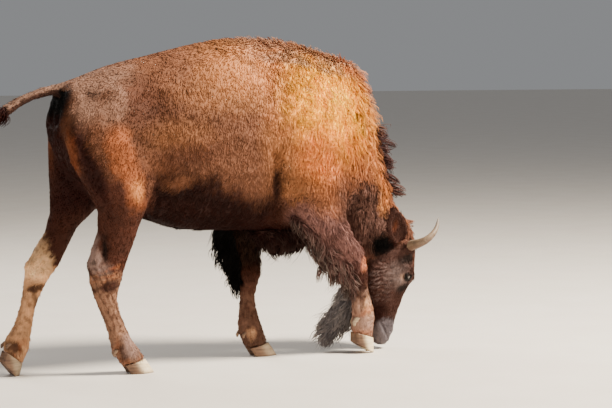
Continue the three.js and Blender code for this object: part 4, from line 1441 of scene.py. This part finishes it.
def make_eye(side):
    bpy.ops.object.select_all(action="DESELECT")
    place = on_side(EYE, SIDES[side])
    bpy.ops.mesh.primitive_uv_sphere_add(segments=48, ring_count=24, radius=EYE_RADIUS, location=place)
    bpy.ops.object.transform_apply(location=True)
    ball = bpy.context.view_layer.objects.active
    ball.name = ball.data.name = f"eyeball_{side}"
    smooth_shaded(ball)
    settle(ball, "eye", "eye", f"eye_{side}")


def clothed(surface, coat, *replaced, slot):
    """Finishes a shape that hair grows on: its map, markings and place in the frame."""
    unwrap(surface)
    surface.read()
    add_colours(surface.mesh, "coat", markings(surface.points, coat.part, surface.normals))
    smooth_shaded(surface.piece)
    settle(surface.piece, "hide", slot, *replaced)


EAR_WIDER = 1.5  # than its node, from front to back


def distance_to(mesh, points):
    tree = BVHTree.FromPolygons([v.co for v in mesh.vertices], [p.vertices for p in mesh.polygons])
    return np.array([tree.find_nearest(point)[3] for point in points])


# How a hair mass and an ear are made: the voxel of its core, in metres, the rounds that relax it, its slot,
# and what its tufts need.
MASS_MANNER = dict(voxel=0.009, relaxing=8, slot="long_hair", points=7, lock=(14, 0.75), swirl=0.25)
EAR_MANNER = dict(voxel=0.0035, relaxing=3, slot="head_coat", points=4, lock=(5, 0.5), swirl=0.3)
BLEACHED = {"beard": 0.60, "brisket_fringe": 0.05, "chaps_right": 0.30}
# Loose hairs that stand out past a mass: how many times as long as its locks, and how many for each of them.
WISPS = {
    "beard": (1.60, 0.16),
    "chaps_right": (1.45, 0.12),
    "chaps_left": (1.3, 0.10),
    "brisket_fringe": (1.35, 0.08),
}
WISP_MANNER = dict(points=8, lock=(4, 0.6), swirl=0.35, rise=1.5, width=0.42)


def make_mass(body, name, voxel, relaxing, slot, **manner):
    """A hair mass or an ear: a core inside the outline of its node, and the locks that grow on it."""
    piece = node_copy(name)
    modified(piece, "REMESH", mode="VOXEL", voxel_size=voxel)
    piece.name = piece.data.name = f"{name}_core"
    surface = Surface(piece)
    surface.relax(relaxing)
    if name in EARS:
        middle = surface.points.mean(0)
        surface.points = middle + (surface.points - middle) * [EAR_WIDER, 1, 1]
        surface.write()
    coat = Coat(surface, name)
    free = smooth_step(distance_to(body.mesh, surface.points), 0.004, 0.040) if name in HAIR_MASSES else 1.0
    surface.points -= surface.normals * (coat.depth * free)[:, None]
    surface.write()
    clothed(surface, coat, name, slot=slot)
    bleached = BLEACHED.get(name, 0.0)
    roots = Roots(surface, coat, (name,), seed=len(name) + 300)
    settle(tufts(f"{name}_hair", roots, len(name), bleached=bleached, **manner), "hair", slot)
    if name in WISPS:
        longer, share = WISPS[name]
        roots = Roots(surface, coat, (name,), seed=len(name) + 400, share=share)
        wisps = tufts(f"{name}_wisps", roots, len(name) + 7, bleached=bleached, length=longer, **WISP_MANNER)
        settle(wisps, "hair", slot)


def right_side(points):
    return points[:, 1] < 0


def left_side(points):
    return points[:, 1] >= 0


def below_poll(points):
    return points[:, 2] < 0.50


def on_poll(points):
    return points[:, 2] >= 0.50


def front_of_neck(points):
    x, y, z = points.T
    return (np.abs(y) < 0.075) & (z > 0.76) & (z < 1.10) & (x > 0.80)


def legs_named(word):
    return tuple(name for name in LEG_LENGTHS if word in name)


# Each piece of the coat: its slot, the parts that it grows on, where on them if not all over, and whatever
# about its tufts isn't as on a short coat.
PIECES = {
    "rump_coat": ("body_coat", ("hindquarters",), None, {}),
    "barrel_coat_right": ("body_coat", ("barrel",), right_side, {}),
    "barrel_coat_left": ("body_coat", ("barrel",), left_side, {}),
    "shoulder_wool_right": ("body_coat", ("forequarters",), right_side, {"lock": (6, 0.35)}),
    "shoulder_wool_left": ("body_coat", ("forequarters",), left_side, {"lock": (6, 0.35)}),
    "neck_wool": ("body_coat", ("neck",), None, {"points": 4, "lock": (9, 0.6)}),
    "neck_tufts": (
        "long_hair",
        ("neck", "head", "forequarters"),
        front_of_neck,
        {"points": 6, "lock": (16, 0.92), "length": 1.15, "rise": 3.0, "tint": ("mane", 0.9)},
    ),
    "face_coat": ("head_coat", ("head",), below_poll, {}),
    "poll_locks": ("long_hair", ("head",), on_poll, {"points": 6, "lock": (9, 0.75)}),
    "foreleg_coat": ("leg_coat", legs_named("fore"), None, {"lock": (4, 0.3)}),
    "hindleg_coat": ("leg_coat", legs_named("hind"), None, {}),
    "tail_coat": ("body_coat", ("tail",), None, {}),
}
# Shares of the coat's number of tufts that a piece has.
FEWER = {"neck_tufts": 0.85, "face_coat": 0.92, "hindleg_coat": 0.90, "rump_coat": 0.97, "poll_locks": 0.85}

set_camera()
set_light()
lay_floor()

body = make_skin()
coat = Coat(body)
body.points -= body.normals * coat.depth[:, None]
body.write()
body.relax(1)
shape_trunk(body)
shape_legs(body, coat)
shape_face(body, coat)
clothed(body, coat, *FLESH, slot="body_coat")

for side in SIDES:
    make_horn(side)
    make_eye(side)
for leg in FORELEGS + HINDLEGS:
    make_foot(leg)

for number, (name, (slot, parts, where, manner)) in enumerate(PIECES.items()):
    roots = Roots(body, coat, parts, seed=100 + number, share=FEWER.get(name, 1.0), where=where)
    settle(tufts(name, roots, number + 1, **manner), "hair", slot)

for name in HAIR_MASSES:
    make_mass(body, name, **MASS_MANNER)
for name in EARS:
    make_mass(body, name, **EAR_MANNER)
